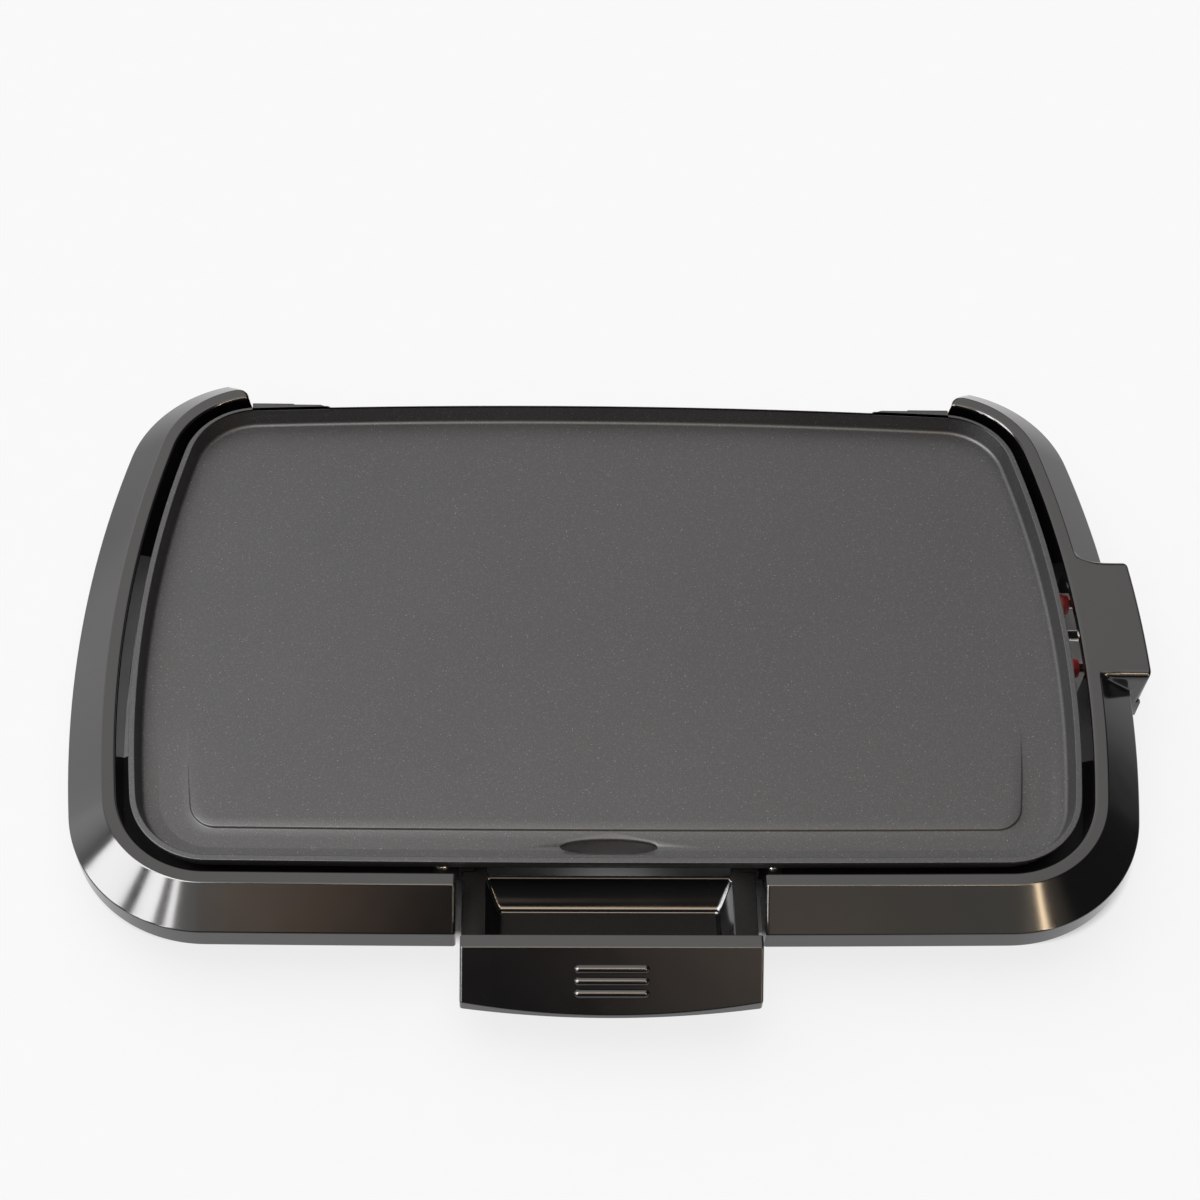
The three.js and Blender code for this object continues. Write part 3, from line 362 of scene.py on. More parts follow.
def hood_rows():
    run = slope_run(SIDE, 0, 0)
    plain = moulded_section(GAP, CREASE, run, SLOPE_DROP, SKIRT_FOOT)
    raised = hood_section(run)
    paths = [step_path((b - a).length) for a, b in zip(plain, raised)]

    def wall_row(step, facing):
        row = []
        for a, b, path in zip(plain, raised, paths):
            height = (b - a).length
            along, rise = path[step]
            spot = a.lerp(b, rise / height) if height > 1e-6 else a
            y = HOOD_FRONT + along if facing < 0 else hood_rear_y(spot.x, spot.y) - along
            row.append(side_spot(y, spot.x, spot.y))
        return row

    rows = [[side_spot(HOOD_FRONT - STEP_FOOT - 1, p.x, p.y) for p in plain]]
    rows += [wall_row(step, -1) for step in range(STEP_ROWS)]
    for k in range(1, 9):
        share = k / 9
        row = []
        for p, path in zip(raised, paths):
            start = HOOD_FRONT + path[-1][0]
            stop = hood_rear_y(p.x, p.y) - path[-1][0]
            row.append(side_spot(start + (stop - start) * share, p.x, p.y))
        rows.append(row)
    rows += [wall_row(step, 1) for step in reversed(range(STEP_ROWS))]
    rows.append([side_spot(hood_rear_y(p.x, p.y) + STEP_FOOT + 1, p.x, p.y) for p in plain])
    return rows


def half_surround(with_hood):
    front_whole = on_arc(rim_plan[FRONT], rim_plan[FRONT][4]).x - NOTCH
    rows = [front_row(d, inset) for d, inset in rounded_end(1.6)]
    rows += [front_row(2.2)] + [front_row(front_whole * k / 9) for k in range(1, 9)]
    rows += [arc_row(FRONT_CORNER, k / 36) for k in range(37)]
    arcs = rim_plan[SIDE], outer_plan[SIDE]
    if with_hood:
        before, after = (math.asin((y - SIDE_CENTRE_Y) / (SIDE_RADIUS + CREASE)) for y in
                         (HOOD_FRONT - STEP_FOOT - 2, HOOD_REAR + REAR_FACET + STEP_FOOT + 2))
        rows += [moulded_row(SIDE, *(between(arc[3], before, k / 10) for arc in arcs)) for k in range(1, 10)]
        rows += hood_rows()
        rows += [moulded_row(SIDE, *(between(after, arc[4], k / 10) for arc in arcs)) for k in range(1, 10)]
    else:
        rows += [moulded_row(SIDE, *(turn(arc, k / 24) for arc in arcs)) for k in range(1, 24)]
    rows += [arc_row(REAR_CORNER, HORN_FROM * k / 14) for k in range(15)]
    table = horn_table(arc_row)
    rows += [horn_row(table, 2, k / 20) for k in range(1, 20)]
    for distance, inset in reversed(rounded_end(3, 6, 46)):
        rows.append(horn_row(horn_table(lambda k, share: arc_row(k, share, inset)), distance))
    return rows


def skin_rows(bm, rows, capped=True):
    """Faces between rows of points, each row a closed section."""
    made = [[bm.verts.new(place(*p)) for p in row] for row in rows]
    count = len(made[0])
    for first, second in zip(made, made[1:]):
        for i in range(count):
            j = (i + 1) % count
            bm.faces.new((first[i], first[j], second[j], second[i]))
    if capped:
        bm.faces.new(made[0])
        bm.faces.new(made[-1])


def smoothed(mesh, crisp):
    """Smooth faces, but edges sharper than crisp degrees stay sharp."""
    mesh.polygons.foreach_set("use_smooth", [True] * len(mesh.polygons))
    mesh.set_sharp_from_angle(angle=math.radians(crisp))
    return mesh


def new_object(name, data):
    made = bpy.data.objects.new(name, data)
    bpy.context.scene.collection.objects.link(made)
    return made


def piece_of(mesh, name, finish, crisp=34):
    if finish is not None:
        mesh.materials.clear()
        mesh.materials.append(finish)
    return new_object(name, smoothed(mesh, crisp))


def piece_from(bm, name, finish, crisp=34):
    """A finished object: doubles merged, faces outwards, smooth apart from crisp edges."""
    bmesh.ops.remove_doubles(bm, verts=bm.verts, dist=2e-6)
    bmesh.ops.recalc_face_normals(bm, faces=bm.faces)
    mesh = bpy.data.meshes.new(name)
    bm.to_mesh(mesh)
    bm.free()
    return piece_of(mesh, name, finish, crisp)


def solid_rows(rows, name="cutter", finish=None, crisp=34, capped=True):
    bm = bmesh.new()
    skin_rows(bm, rows, capped)
    return piece_from(bm, name, finish, crisp)


def combine(piece, tools, operation="DIFFERENCE", crisp=34):
    """Cuts or joins solids, then puts the plain result back as the piece's mesh."""
    for tool in tools:
        step = piece.modifiers.new("combine", "BOOLEAN")
        step.operation, step.solver, step.object = operation, "EXACT", tool
    shown = piece.evaluated_get(bpy.context.evaluated_depsgraph_get())
    mesh = bpy.data.meshes.new_from_object(shown)
    piece.modifiers.clear()
    piece.data = smoothed(mesh, crisp)
    for tool in tools:
        bpy.data.objects.remove(tool)
    return piece


def wired(tree, kind, inputs, **settings):
    """A new node with its properties set; each input is a constant or a socket to link."""
    node = tree.nodes.new(kind)
    for name, value in settings.items():
        setattr(node, name, value)
    for name, value in inputs.items():
        if isinstance(value, bpy.types.NodeSocket):
            tree.links.new(value, node.inputs[name])
        else:
            node.inputs[name].default_value = value
    return node


def noise(tree, spots, scale, detail=2.0, roughness=0.5):
    return wired(tree, "ShaderNodeTexNoise", {"Vector": spots, "Scale": scale, "Detail": detail,
                                              "Roughness": roughness}).outputs["Fac"]


def new_finish(name, **sockets):
    """A material with its shader's constant sockets set, and its tree and shader at hand."""
    finish = bpy.data.materials.new(name)
    finish.use_nodes = True
    tree = finish.node_tree
    shader = tree.nodes["Principled BSDF"]
    for socket, value in sockets.items():
        shader.inputs[socket.replace("_", " ")].default_value = value
    spots = tree.nodes.new("ShaderNodeTexCoord").outputs["Object"]
    return finish, tree, shader, spots


def ramp(tree, factor, stops):
    """A colour ramp fed by factor; stops are (place, grey or colour)."""
    node = wired(tree, "ShaderNodeValToRGB", {"Fac": factor})
    elements = node.color_ramp.elements
    while len(elements) < len(stops):
        elements.new(0.5)
    for element, (spot, value) in zip(elements, stops):
        element.position = spot
        element.color = (*(value if isinstance(value, tuple) else (value,) * 3), 1)
    return node.outputs["Color"]


def shade(tree, shader, colour=None, rough=None, bump=None):
    """Feeds a shader: colour and roughness by (factor, stops), bump by (height, strength, depth)."""
    for socket, given in (("Base Color", colour), ("Roughness", rough)):
        if given:
            tree.links.new(ramp(tree, *given), shader.inputs[socket])
    if bump:
        node = wired(tree, "ShaderNodeBump", dict(zip(("Height", "Strength", "Distance"), bump)))
        tree.links.new(node.outputs["Normal"], shader.inputs["Normal"])


def grained(name, colour, rough, bump=None, **sockets):
    """A finish that follows noises, each written as its (scale, detail, roughness)."""
    finish, tree, shader, spots = new_finish(name, **sockets)
    made = {}
    for given in filter(None, (colour, rough, bump)):
        if given[0] not in made:
            made[given[0]] = noise(tree, spots, *given[0])
    shade(tree, shader, *((made[given[0]], *given[1:]) for given in filter(None, (colour, rough, bump))))
    return finish


# Polished, with faint flow ripple, fine dust and light wipe marks; dull inside, as moulded.
gloss_black = grained("gloss_black_moulding", ((900, 1.0), [(0.0, 0.005), (0.74, 0.006), (0.8, 0.02)]),
                      ((14, 3.0, 0.6), [(0.35, 0.11), (0.7, 0.16)]), ((45, 1.0), 0.02, 0.002),
                      IOR=1.6, Specular_IOR_Level=0.5)
dull_black = grained("dull_black_inside", ((700, 2.0), [(0.3, 0.005), (0.75, 0.012)]),
                     ((700, 2.0), [(0.3, 0.6), (0.7, 0.75)]), Specular_IOR_Level=0.1)


def mirrored(rows, side):
    return [[[side * x, y, z] for x, y, z in row] for row in rows]


halves = [solid_rows(mirrored(half_surround(with_hood=side > 0), side), f"half_{hand}", gloss_black)
          for hand, side in (("right", 1), ("left", -1))]


def hollow_row(k, rim_share, outer_share):
    return row_across(k, turn(rim_plan[k], rim_share), turn(outer_plan[k], outer_share), lambda run:
                      section_corners(GAP, CREASE, run, SLOPE_DROP, SKIRT_FOOT - 1, WALL))


def hollow_rows(stretches):
    rows = []
    for k, start, stop, steps in stretches:
        for i in range(steps + 1):
            row = hollow_row(k, *(a + (b - a) * i / steps for a, b in zip(start, stop)))
            if not rows or (Vector(row[0]) - Vector(rows[-1][0])).length > 0.05:
                rows.append(row)
    return rows


def side_shares(y):
    angle = math.asin((y - SIDE_CENTRE_Y) / (SIDE_RADIUS + CREASE))
    return tuple(share_of_turn(plan[SIDE], angle) for plan in (rim_plan, outer_plan))


notch_share = tuple(share_at_x(plan[FRONT], NOTCH + WALL) for plan in (rim_plan, outer_plan))
front_part = [(FRONT, notch_share, (1, 1), 4), (FRONT_CORNER, (0, 0), (1, 1), 20)]
rear_part = [(REAR_CORNER, (0, 0), (HORN_FROM, HORN_FROM), 9)]
hollow_table = horn_table(lambda k, share: hollow_row(k, share, share))
rear_tail = [horn_row(hollow_table, WALL, k / 10) for k in range(1, 11)]
cutters = {
    1: [hollow_rows(front_part + [(SIDE, (0, 0), side_shares(HOOD_FRONT), 6)]),
        hollow_rows([(SIDE, side_shares(HOOD_REAR + 8), (1, 1), 6)] + rear_part) + rear_tail],
    -1: [hollow_rows(front_part + [(SIDE, (0, 0), (1, 1), 12)] + rear_part) + rear_tail],
}
# The hood's own space, and the opening in its inner wall for the pins.
SPACE_OUT = 60
cutters[1].append([[side_spot(y, out, z) for out, z in
                    ((GAP + WALL, SKIRT_FOOT - 1), (GAP + WALL, -WALL), (SPACE_OUT, -WALL),
                     (SPACE_OUT, SKIRT_FOOT - 1))]
                   for y in (HOOD_FRONT + WALL, -10, 15, HOOD_REAR - WALL)])
near_x, far_x = PLATE_HALF_WIDTH - 2, PLATE_HALF_WIDTH + GAP + 2 * WALL
cutters[1].append([[[near_x, HOOD_FRONT + 4, z], [far_x, HOOD_FRONT + 4, z], [far_x, HOOD_REAR - 4, z],
                    [near_x, HOOD_REAR - 4, z]] for z in (SKIRT_FOOT - 1, -5)])
for half, side in zip(halves, (1, -1)):
    tools = [solid_rows(mirrored(rows, side)) for rows in cutters[side]]
    half.data.materials.append(dull_black)
    for tool in tools:
        tool.data.polygons.foreach_set("material_index", [1] * len(tool.data.polygons))
    combine(half, tools)

BAR_NEAR, BAR_FAR, BAR_TOP, BAR_MIDDLE = 3, 11, -18.8, -24
bar_section = rounded_path([Vector(p) for p in
                            ((BAR_NEAR, BAR_MIDDLE), (BAR_NEAR, BAR_TOP), (BAR_FAR, BAR_TOP),
                             (BAR_FAR, SKIRT_FOOT), (BAR_NEAR, SKIRT_FOOT), (BAR_NEAR, BAR_MIDDLE))],
                           [0, 0.8, 0.8, 0.8, 0.8, 0], [1, 1, 1, 1, 1], 3, 0.2)[:-1]
bar_rows = []
for k in range(33):
    x = HORN + 1 - 2 * (HORN + 1) * k / 32
    arc = rim_plan[REAR]
    row = []
    for out, z in bar_section:
        spot = on_arc(arc, math.acos(x / (arc[2] + out)), out)
        row.append([spot.x, spot.y, z])
    bar_rows.append(row)
rear_bar = solid_rows(bar_rows, "rear_bar", gloss_black)

# The hood's front and rear walls reach lower than the skirt.
CHEEK_FOOT, CHEEK_NEAR, CHEEK_FAR, SET_IN = -43.5, 28.3, 43.7, 0.15
cheeks = []
for near, far in ((HOOD_FRONT + SET_IN, HOOD_FRONT + WALL - SET_IN),
                  (HOOD_REAR - WALL + SET_IN, HOOD_REAR - SET_IN)):
    rows = []
    for z, inset in ((SKIRT_FOOT + 1, 0), (CHEEK_FOOT + 0.8, 0), (CHEEK_FOOT + 0.25, 0.25),
                     (CHEEK_FOOT, 0.8)):
        rows.append([side_spot(y, out, z) for y, out in
                     ((near + inset, CHEEK_NEAR), (near + inset, CHEEK_FAR - inset),
                      (far - inset, CHEEK_FAR - inset), (far - inset, CHEEK_NEAR))])
    cheeks.append(solid_rows(rows, "cheek", gloss_black))
surround = combine(halves[0], [halves[1], rear_bar, *cheeks], "UNION")
surround.name = "surround_moulding"
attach(surround, "base")
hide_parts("surround")

# ---------------------------------------------------------------- griddle plate
# Die-cast aluminium with a speckled non-stick coating. A narrow rim stands round the dish; the
# floor falls to the front outside the cooking area, so fat runs to the slot over the drip tray.

RIM_Z = -1.5
FLOOR_Z = -13.5
UNDERSIDE_Z = -17.5
FADE_Y = -66
FALL = 2.0
FOOT_FALL = 0.5  # share of the fall that the wall's own foot follows
FOOT_LINE = 14.5
RIM_WIDTH = 3.3
REAR_RIM_WIDTH = 2.2
REAR_TRIM = 1.4  # off the rim's rear edge, between the tabs
TAB_INNER, TAB_RAMP, TAB_STEP, TAB_OUTER = 165.5, 171, 186.7, 212
COOKING_INSET = 31  # from the rim to the raised cooking area's edge, at the sides
dish_plan = arc_plan(PLATE_HALF_WIDTH, SIDE_CENTRE_Y, SIDE_RADIUS, -PLATE_HALF_DEPTH, FRONT_RADIUS,
                     PLATE_HALF_DEPTH + RIM_WIDTH - REAR_RIM_WIDTH, REAR_RADIUS, 45, 42)
cooking_plan = arc_plan(PLATE_HALF_WIDTH - COOKING_INSET, SIDE_CENTRE_Y, SIDE_RADIUS - COOKING_INSET,
                        -129.8, 21640, 128, 4300, 15, 22)
RING_STEPS = (8, 26, 26, 26)  # along the front, front corner, side and rear corner
rear_xs = [on_arc(rim_plan[REAR], rim_plan[REAR][3]).x, 208, 195, 182, 173, 169, 167, 165.9, 165.1,
           163, 158, 150, 130, 105, 80, 55, 28, 0]


def whole_ring(plan, out):
    """Closed outline, counter-clockwise, at a distance out from a plan's own line."""
    right = [on_arc(plan[k], turn(plan[k], i / steps), out)
             for k, steps in enumerate(RING_STEPS) for i in range(steps)]
    arc = plan[REAR]
    scale = on_arc(arc, arc[3], out).x / rear_xs[0]
    for x in rear_xs:
        right.append(on_arc(arc, math.acos(x * scale / (arc[2] + out)) if x else math.pi / 2, out))
    return right + [Vector((-p.x, p.y)) for p in reversed(right[1:-1])]


def rear_y(x, out):
    centre_y, radius = rim_plan[REAR][1], rim_plan[REAR][2] + out
    return centre_y + math.sqrt(radius * radius - x * x)


def floor_fall(y):
    return FALL * max(0.0, (FADE_Y - y) / (PLATE_HALF_DEPTH + FADE_Y))


def dish_rings():
    corners = [Vector(p) for p in
               ((-16, UNDERSIDE_Z), (-5.9, UNDERSIDE_Z), (-4.4, -16), (-0.5, -4.5), (0, -3.5),
                (0, RIM_Z), (-RIM_WIDTH, RIM_Z), (-5.5, FLOOR_Z), (-FOOT_LINE, FLOOR_Z))]
    profile = rounded_path(corners, [0, 0.4, 0.8, 0.6, 0.6, 0.45, 0.5, 2.2, 0],
                           [1, 1, 2, 1, 1, 1, 3, 2], 6, 0.2)
    profile += [Vector((-FOOT_LINE - 0.5, FLOOR_Z)), Vector((-FOOT_LINE - 1.5, FLOOR_Z))]
    rings = []
    top = next(i for i, p in enumerate(profile) if p.x == max(q.x for q in profile))
    for i, p in enumerate(profile):
        inside = i > top and p.x < -RIM_WIDTH + 0.6
        ring = []
        for spot in whole_ring(dish_plan if inside else rim_plan, p.x):
            z = p.y
            if inside:
                share = 1 if p.x < -FOOT_LINE + 0.3 else FOOT_FALL
                z -= floor_fall(spot.y) * ease((-3 - z) / 9) * share
            elif spot.y > 0:
                trimmed = rear_y(spot.x, -REAR_TRIM)
                spot.y -= max(0.0, spot.y - trimmed) * ease((166.4 - abs(spot.x)) / 1.6)
            ring.append([spot.x, spot.y, z])
        rings.append(ring)
    return rings


rings = dish_rings()
# The edge of the cooking area: the floor beside it falls, the area itself stays level.
for out, share in ((6.0, 1.0), (0.9, 1.0), (0.6, 0.93), (0.35, 0.7), (0.05, 0.3), (-0.15, 0.1),
                   (-0.5, 0.0), (-6.0, 0.0)):
    rings.append([[p.x, p.y, FLOOR_Z - floor_fall(p.y) * share] for p in whole_ring(cooking_plan, out)])


def coating_finish():
    """Charcoal non-stick coating, faintly orange-peeled, with fine pale grains in it."""
    finish, tree, shader, spots = new_finish("speckled_coating", IOR=1.55, Specular_IOR_Level=0.5)
    flakes = wired(tree, "ShaderNodeTexVoronoi", {"Vector": spots, "Scale": 1500})
    split = wired(tree, "ShaderNodeSeparateColor", {"Color": flakes.outputs["Color"]})
    near = ramp(tree, flakes.outputs["Distance"], [(0.0, 1.0), (0.25, 1.0), (0.5, 0.0)])
    rare = ramp(tree, split.outputs["Red"],
                [(0.0, 0.0), (0.62, 0.0), (0.9, 0.22), (0.985, 0.3), (1.0, 1.0)])
    flake = wired(tree, "ShaderNodeMath", {0: near, 1: rare}, operation="MULTIPLY")
    grain, cloud = noise(tree, spots, 1300), noise(tree, spots, 7, 3.0, 0.55)
    ground = ramp(tree, grain, [(0.3, (0.021, 0.021, 0.0225)), (0.7, (0.04, 0.04, 0.042))])
    tint = ramp(tree, cloud, [(0.3, 0.9), (0.7, 1.08)])
    clouded = wired(tree, "ShaderNodeMix", {"Factor": 1, 6: ground, 7: tint},
                    data_type="RGBA", blend_type="MULTIPLY")
    lit = wired(tree, "ShaderNodeMix", {"Factor": flake.outputs[0], 6: clouded.outputs[2],
                                        7: (0.3, 0.29, 0.28, 1)}, data_type="RGBA")
    tree.links.new(lit.outputs[2], shader.inputs["Base Color"])
    shade(tree, shader, None, (cloud, [(0.3, 0.44), (0.7, 0.52)]), (grain, 0.3, 0.00012))
    return finish


coating = coating_finish()
plate_piece = solid_rows(rings, "griddle_plate_casting", coating, 40)

DRAIN_Y, DRAIN_LENGTH, DRAIN_WIDTH = -139.5, 52, 9
DRAIN_EDGE = 1.3
floor_here = FLOOR_Z - floor_fall(DRAIN_Y)
levels = [(UNDERSIDE_Z - 1, 0), (floor_here - DRAIN_EDGE, 0)]
levels += [(floor_here - DRAIN_EDGE + DRAIN_EDGE * math.sin(a), DRAIN_EDGE * (1 - math.cos(a)))
           for a in angles(18, 36, 54, 68, 78, 84)]
levels.append((floor_here + 0.6, DRAIN_EDGE * 1.6))
drain_rows = [[[(DRAIN_LENGTH / 2 + grow) * math.cos(a), DRAIN_Y + (DRAIN_WIDTH / 2 + grow) * math.sin(a), z]
               for a in round_turns(96)] for z, grow in levels]
combine(plate_piece, [solid_rows(drain_rows, finish=coating)], crisp=40)

TAB_EDGE_IN, TAB_STEP_IN, TAB_ROOT_IN = 1.7, 0.6, 2.8


def tab_piece(side):
    """A tab on the rear rim, seen from above: its edge runs out and then steps out a little."""
    edge, step = PLATE_HALF_DEPTH - TAB_EDGE_IN, PLATE_HALF_DEPTH - TAB_EDGE_IN - TAB_STEP_IN
    outline = [(TAB_INNER, rear_y(TAB_INNER, -TAB_ROOT_IN)), (TAB_OUTER, rear_y(TAB_OUTER, -TAB_ROOT_IN)),
               (TAB_OUTER, edge), (TAB_STEP + 1, edge), (TAB_STEP, step), (TAB_RAMP, step),
               (TAB_INNER, rear_y(TAB_INNER, -REAR_TRIM))]
    rows = [[[side * x, y - inset if 1 < k < 6 else y, z] for k, (x, y) in enumerate(outline)]
            for z, inset in ((RIM_Z - 3, 0), (RIM_Z - 0.5, 0), (RIM_Z - 0.15, 0.15), (RIM_Z, 0.5))]
    return solid_rows(rows, finish=coating)


combine(plate_piece, [tab_piece(1), tab_piece(-1)], "UNION", 40)


def slab(outline, low, high, edge, finish):
    """A flat piece cut to an outline, with all its edges rounded."""
    bm = bmesh.new()
    skin_rows(bm, [[[x, y, z] for x, y in outline] for z in (low, high)])
    bmesh.ops.recalc_face_normals(bm, faces=bm.faces)
    bmesh.ops.bevel(bm, geom=list(bm.edges), offset=edge * MM, segments=3, affect="EDGES",
                    profile=0.5, clamp_overlap=True)
    return piece_from(bm, "slab", finish)


def round_corners(outline, radii, steps=4):
    """The outline with its corners rounded, each to its own radius."""
    points = [Vector(p) for p in outline]
    rounded = []
    for i, (corner, radius) in enumerate(zip(points, radii)):
        if radius <= 0:
            rounded.append(tuple(corner))
            continue
        back = (points[i - 1] - corner).normalized()
        ahead = (points[(i + 1) % len(points)] - corner).normalized()
        half = back.angle(ahead) / 2
        centre = corner + (back + ahead).normalized() * (radius / math.sin(half))
        reach = radius / math.tan(half)
        start, stop = corner + back * reach - centre, corner + ahead * reach - centre
        rounded += [tuple(on_bend(centre, start, stop, k / steps)) for k in range(steps + 1)]
    return rounded


def measured(node):
    """A part's lowest and highest corners, in millimetres from the same point as place()."""
    return [Vector(((p.x - middle_x) / MM, (p.y - middle_y) / MM, (p.z - top_z) / MM))
            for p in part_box(node)]


def middle(node):
    low, high = measured(node)
    return (low + high) / 2


def turned(profile, centre, name, finish, along="z", sides=40, closed=False):
    """A round piece: (distance, radius) pairs turned about its axis; closed ones have a bore."""
    rows = []
    for distance, radius in profile + (profile[:1] if closed else []):
        row = []
        for a in round_turns(sides):
            u, v = radius * math.cos(a), radius * math.sin(a)
            offset = (distance, u, v) if along == "x" else (u, v, distance)
            row.append([m + o for m, o in zip(centre, offset)])
        rows.append(row)
    return solid_rows(rows, name, finish, capped=not closed)


# The casting's boss at the right edge, bored for the heater's ends, the sensor and two screws.
heater_low, heater_high = measured("heating_element")
TUBE = heater_high.z - heater_low.z
tube_z = (heater_high.z + heater_low.z) / 2
leaf_front_y, leaf_rear_y = middle("terminal_pin_front").y, middle("terminal_pin_rear").y
terminal_low, terminal_high = measured("terminal_plate")
BOSS_LENGTH, BOSS_MARGIN, BOSS_DROP, RUN_FIT = 25, 2, 11.5, 0.3
boss_x0, boss_x1 = heater_high.x - BOSS_LENGTH, heater_high.x
boss_y0, boss_y1 = terminal_low.y - BOSS_MARGIN, terminal_high.y + BOSS_MARGIN
boss = slab([(boss_x0, boss_y0), (boss_x1, boss_y0), (boss_x1, boss_y1), (boss_x0, boss_y1)],
            UNDERSIDE_Z - BOSS_DROP, UNDERSIDE_Z + 2, 1.2, coating)
combine(plate_piece, [boss], "UNION", 40)
bores = [(y, TUBE / 2 + RUN_FIT, -1) for y in (leaf_front_y, leaf_rear_y, (leaf_front_y + leaf_rear_y) / 2)]
bores += [(middle(f"terminal_plate_screw_{end}").y, 1.8, BOSS_LENGTH - 9) for end in ("front", "rear")]
combine(plate_piece, [turned([(start, radius), (BOSS_LENGTH + 1, radius)], (boss_x0, y, tube_z), "bore",
                             coating, "x", 28) for y, radius, start in bores], crisp=40)
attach(plate_piece, "plate")
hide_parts("griddle_plate")

# ---------------------------------------------------------------- drip tray
# Gloss black moulding: a sloping front panel with three grip bars, a trough behind it for the
# fat, and a flange on each side that runs in a rail.

TRAY_OUT = 35.6
TRAY_HALF = 79
PANEL_FLAT = 7.3
PANEL_BACK = -(PLATE_HALF_DEPTH + CREASE - PANEL_FLAT) - TRAY_OUT
PANEL_RUN = 23
PANEL_BULGE = 5.5
PANEL_FOOT = -25
FALL_PER_RUN = SLOPE_DROP / (REACH - CREASE)
FLANGE_TOP, FLANGE_LOW = -21, -23
TRAY_WALL = 2.2


def panel_run(x):
    return PANEL_RUN + PANEL_BULGE * (1 - (x / TRAY_HALF) ** 2)


def panel_row(x, inset=0.0):
    run = panel_run(x)
    section = moulded_section(0, PANEL_FLAT, run, run * FALL_PER_RUN, PANEL_FOOT, inset, (0.7, 1.2, 0.9))
    return [[x, PANEL_BACK - out, z] for out, z in section]


def panel_hollow(x):
    run = panel_run(x)
    section = section_corners(0, PANEL_FLAT, run, run * FALL_PER_RUN, PANEL_FOOT - 1, TRAY_WALL)
    return [[x, PANEL_BACK - out, z] for out, z in section]


ends = rounded_end(1.3, 5)
rows = [panel_row(-TRAY_HALF + d, inset) for d, inset in ends]
rows += [panel_row(-TRAY_HALF + 1.8 + (2 * TRAY_HALF - 3.6) * k / 24) for k in range(25)]
rows += [panel_row(TRAY_HALF - d, inset) for d, inset in reversed(ends)]
tray = solid_rows(rows, "drip_tray_moulding", gloss_black)
combine(tray, [solid_rows([panel_hollow((TRAY_HALF - TRAY_WALL) * (2 * k / 12 - 1)) for k in range(13)])])

BACK_RIM = -118.3 - TRAY_OUT
ARM_END = BACK_RIM + 28
TUB_HALF, TUB_FLOOR_HALF = 66, 60
TUB_FLOOR, TUB_UNDERSIDE = -35, -37.2
TUB_SLANT = 12     # how far the trough's rear wall leans in
FLOOR_TILT = 0.17  # the trough's floor rises towards the panel
flange_outline = round_corners(
    [(-TRAY_HALF, PANEL_BACK - 1), (TRAY_HALF, PANEL_BACK - 1), (TRAY_HALF, ARM_END), (TUB_HALF, ARM_END),
     (TUB_HALF, BACK_RIM), (-TUB_HALF, BACK_RIM), (-TUB_HALF, ARM_END), (-TRAY_HALF, ARM_END)],
    [0, 0, 3, 3, 2, 2, 3, 3])
flange = slab(flange_outline, FLANGE_LOW, FLANGE_TOP, 0.4, gloss_black)


def tub_rows(grow, levels):
    """Rows round the trough, grown by its wall or not; levels are (share of lean, z, inset)."""
    rows = []
    for share, z, inset in levels:
        half = TUB_HALF + (TUB_FLOOR_HALF - TUB_HALF) * share + grow - inset
        rear = BACK_RIM - TRAY_WALL - TUB_SLANT * share + grow - inset
        front = PANEL_BACK - grow + inset
        outline = round_corners([(-half, front), (half, front), (half, rear), (-half, rear)],
                                [max(2.5 + grow - inset * 0.3, 1.5)] * 4, 6)
        rows.append([[x, y, z] for x, y in outline])
    return rows


def tub_levels(floor_z, fillet):
    """The wall's lower part and the fillet round the floor."""
    levels = [(0.75, FLANGE_TOP + (floor_z - FLANGE_TOP) * 0.75, 0)]
    for t in angles(0, 22, 45, 68, 90):
        levels.append((1, floor_z + fillet * (1 - math.sin(t)), fillet * (1 - math.cos(t))))
    return levels


outer_levels = [(0, FLANGE_TOP - 0.3, 0), *tub_levels(TUB_UNDERSIDE, 4)]
outer_tub = solid_rows(tub_rows(TRAY_WALL, outer_levels), "outer_tub", gloss_black)
combine(tray, [flange, outer_tub], "UNION")
trough_levels = [(0, FLANGE_TOP + 0.5, -1.2), (0, FLANGE_TOP + 0.02, -0.75), (0, FLANGE_TOP - 0.25, -0.3),
                 (0, FLANGE_TOP - 0.8, 0), *tub_levels(TUB_FLOOR, 2.2)]
trough_rows = tub_rows(0, trough_levels)
trough_rear = BACK_RIM - TRAY_WALL - TUB_SLANT
for point in (point for row in trough_rows for point in row):
    point[1] = max(point[1], PANEL_BACK)
    deep = ease((FLANGE_TOP - 3 - point[2]) / 9)
    point[2] += deep * FLOOR_TILT * max(0.0, trough_rear - point[1])
combine(tray, [solid_rows(trough_rows, finish=gloss_black)])

BAR_LENGTH, BAR_RADIUS, BAR_PROUD, BAR_FIRST, BAR_PITCH = 40, 2.8, 1.2, 8.5, 5.1


def grip_bar(run):
    """A raised bar on the panel, that far down its slope; round, with round ends."""
    y = PANEL_BACK - PANEL_FLAT - run
    z = -run * FALL_PER_RUN - (BAR_RADIUS - BAR_PROUD)
    half = BAR_LENGTH / 2 - BAR_RADIUS
    stops = [(-half - BAR_RADIUS * math.cos(t), BAR_RADIUS * math.sin(t))
             for t in angles(4, 20, 36, 52, 68, 82)]
    stops += [(x, BAR_RADIUS) for x in (-half, -half / 2, half / 2, half)]
    stops += [(-x, r) for x, r in reversed(stops[:6])]
    return solid_rows([[[x, y + radius * math.cos(a), z + radius * math.sin(a)] for a in round_turns(32)]
                       for x, radius in stops], finish=gloss_black)


combine(tray, [grip_bar(BAR_FIRST + k * BAR_PITCH) for k in range(3)], "UNION")

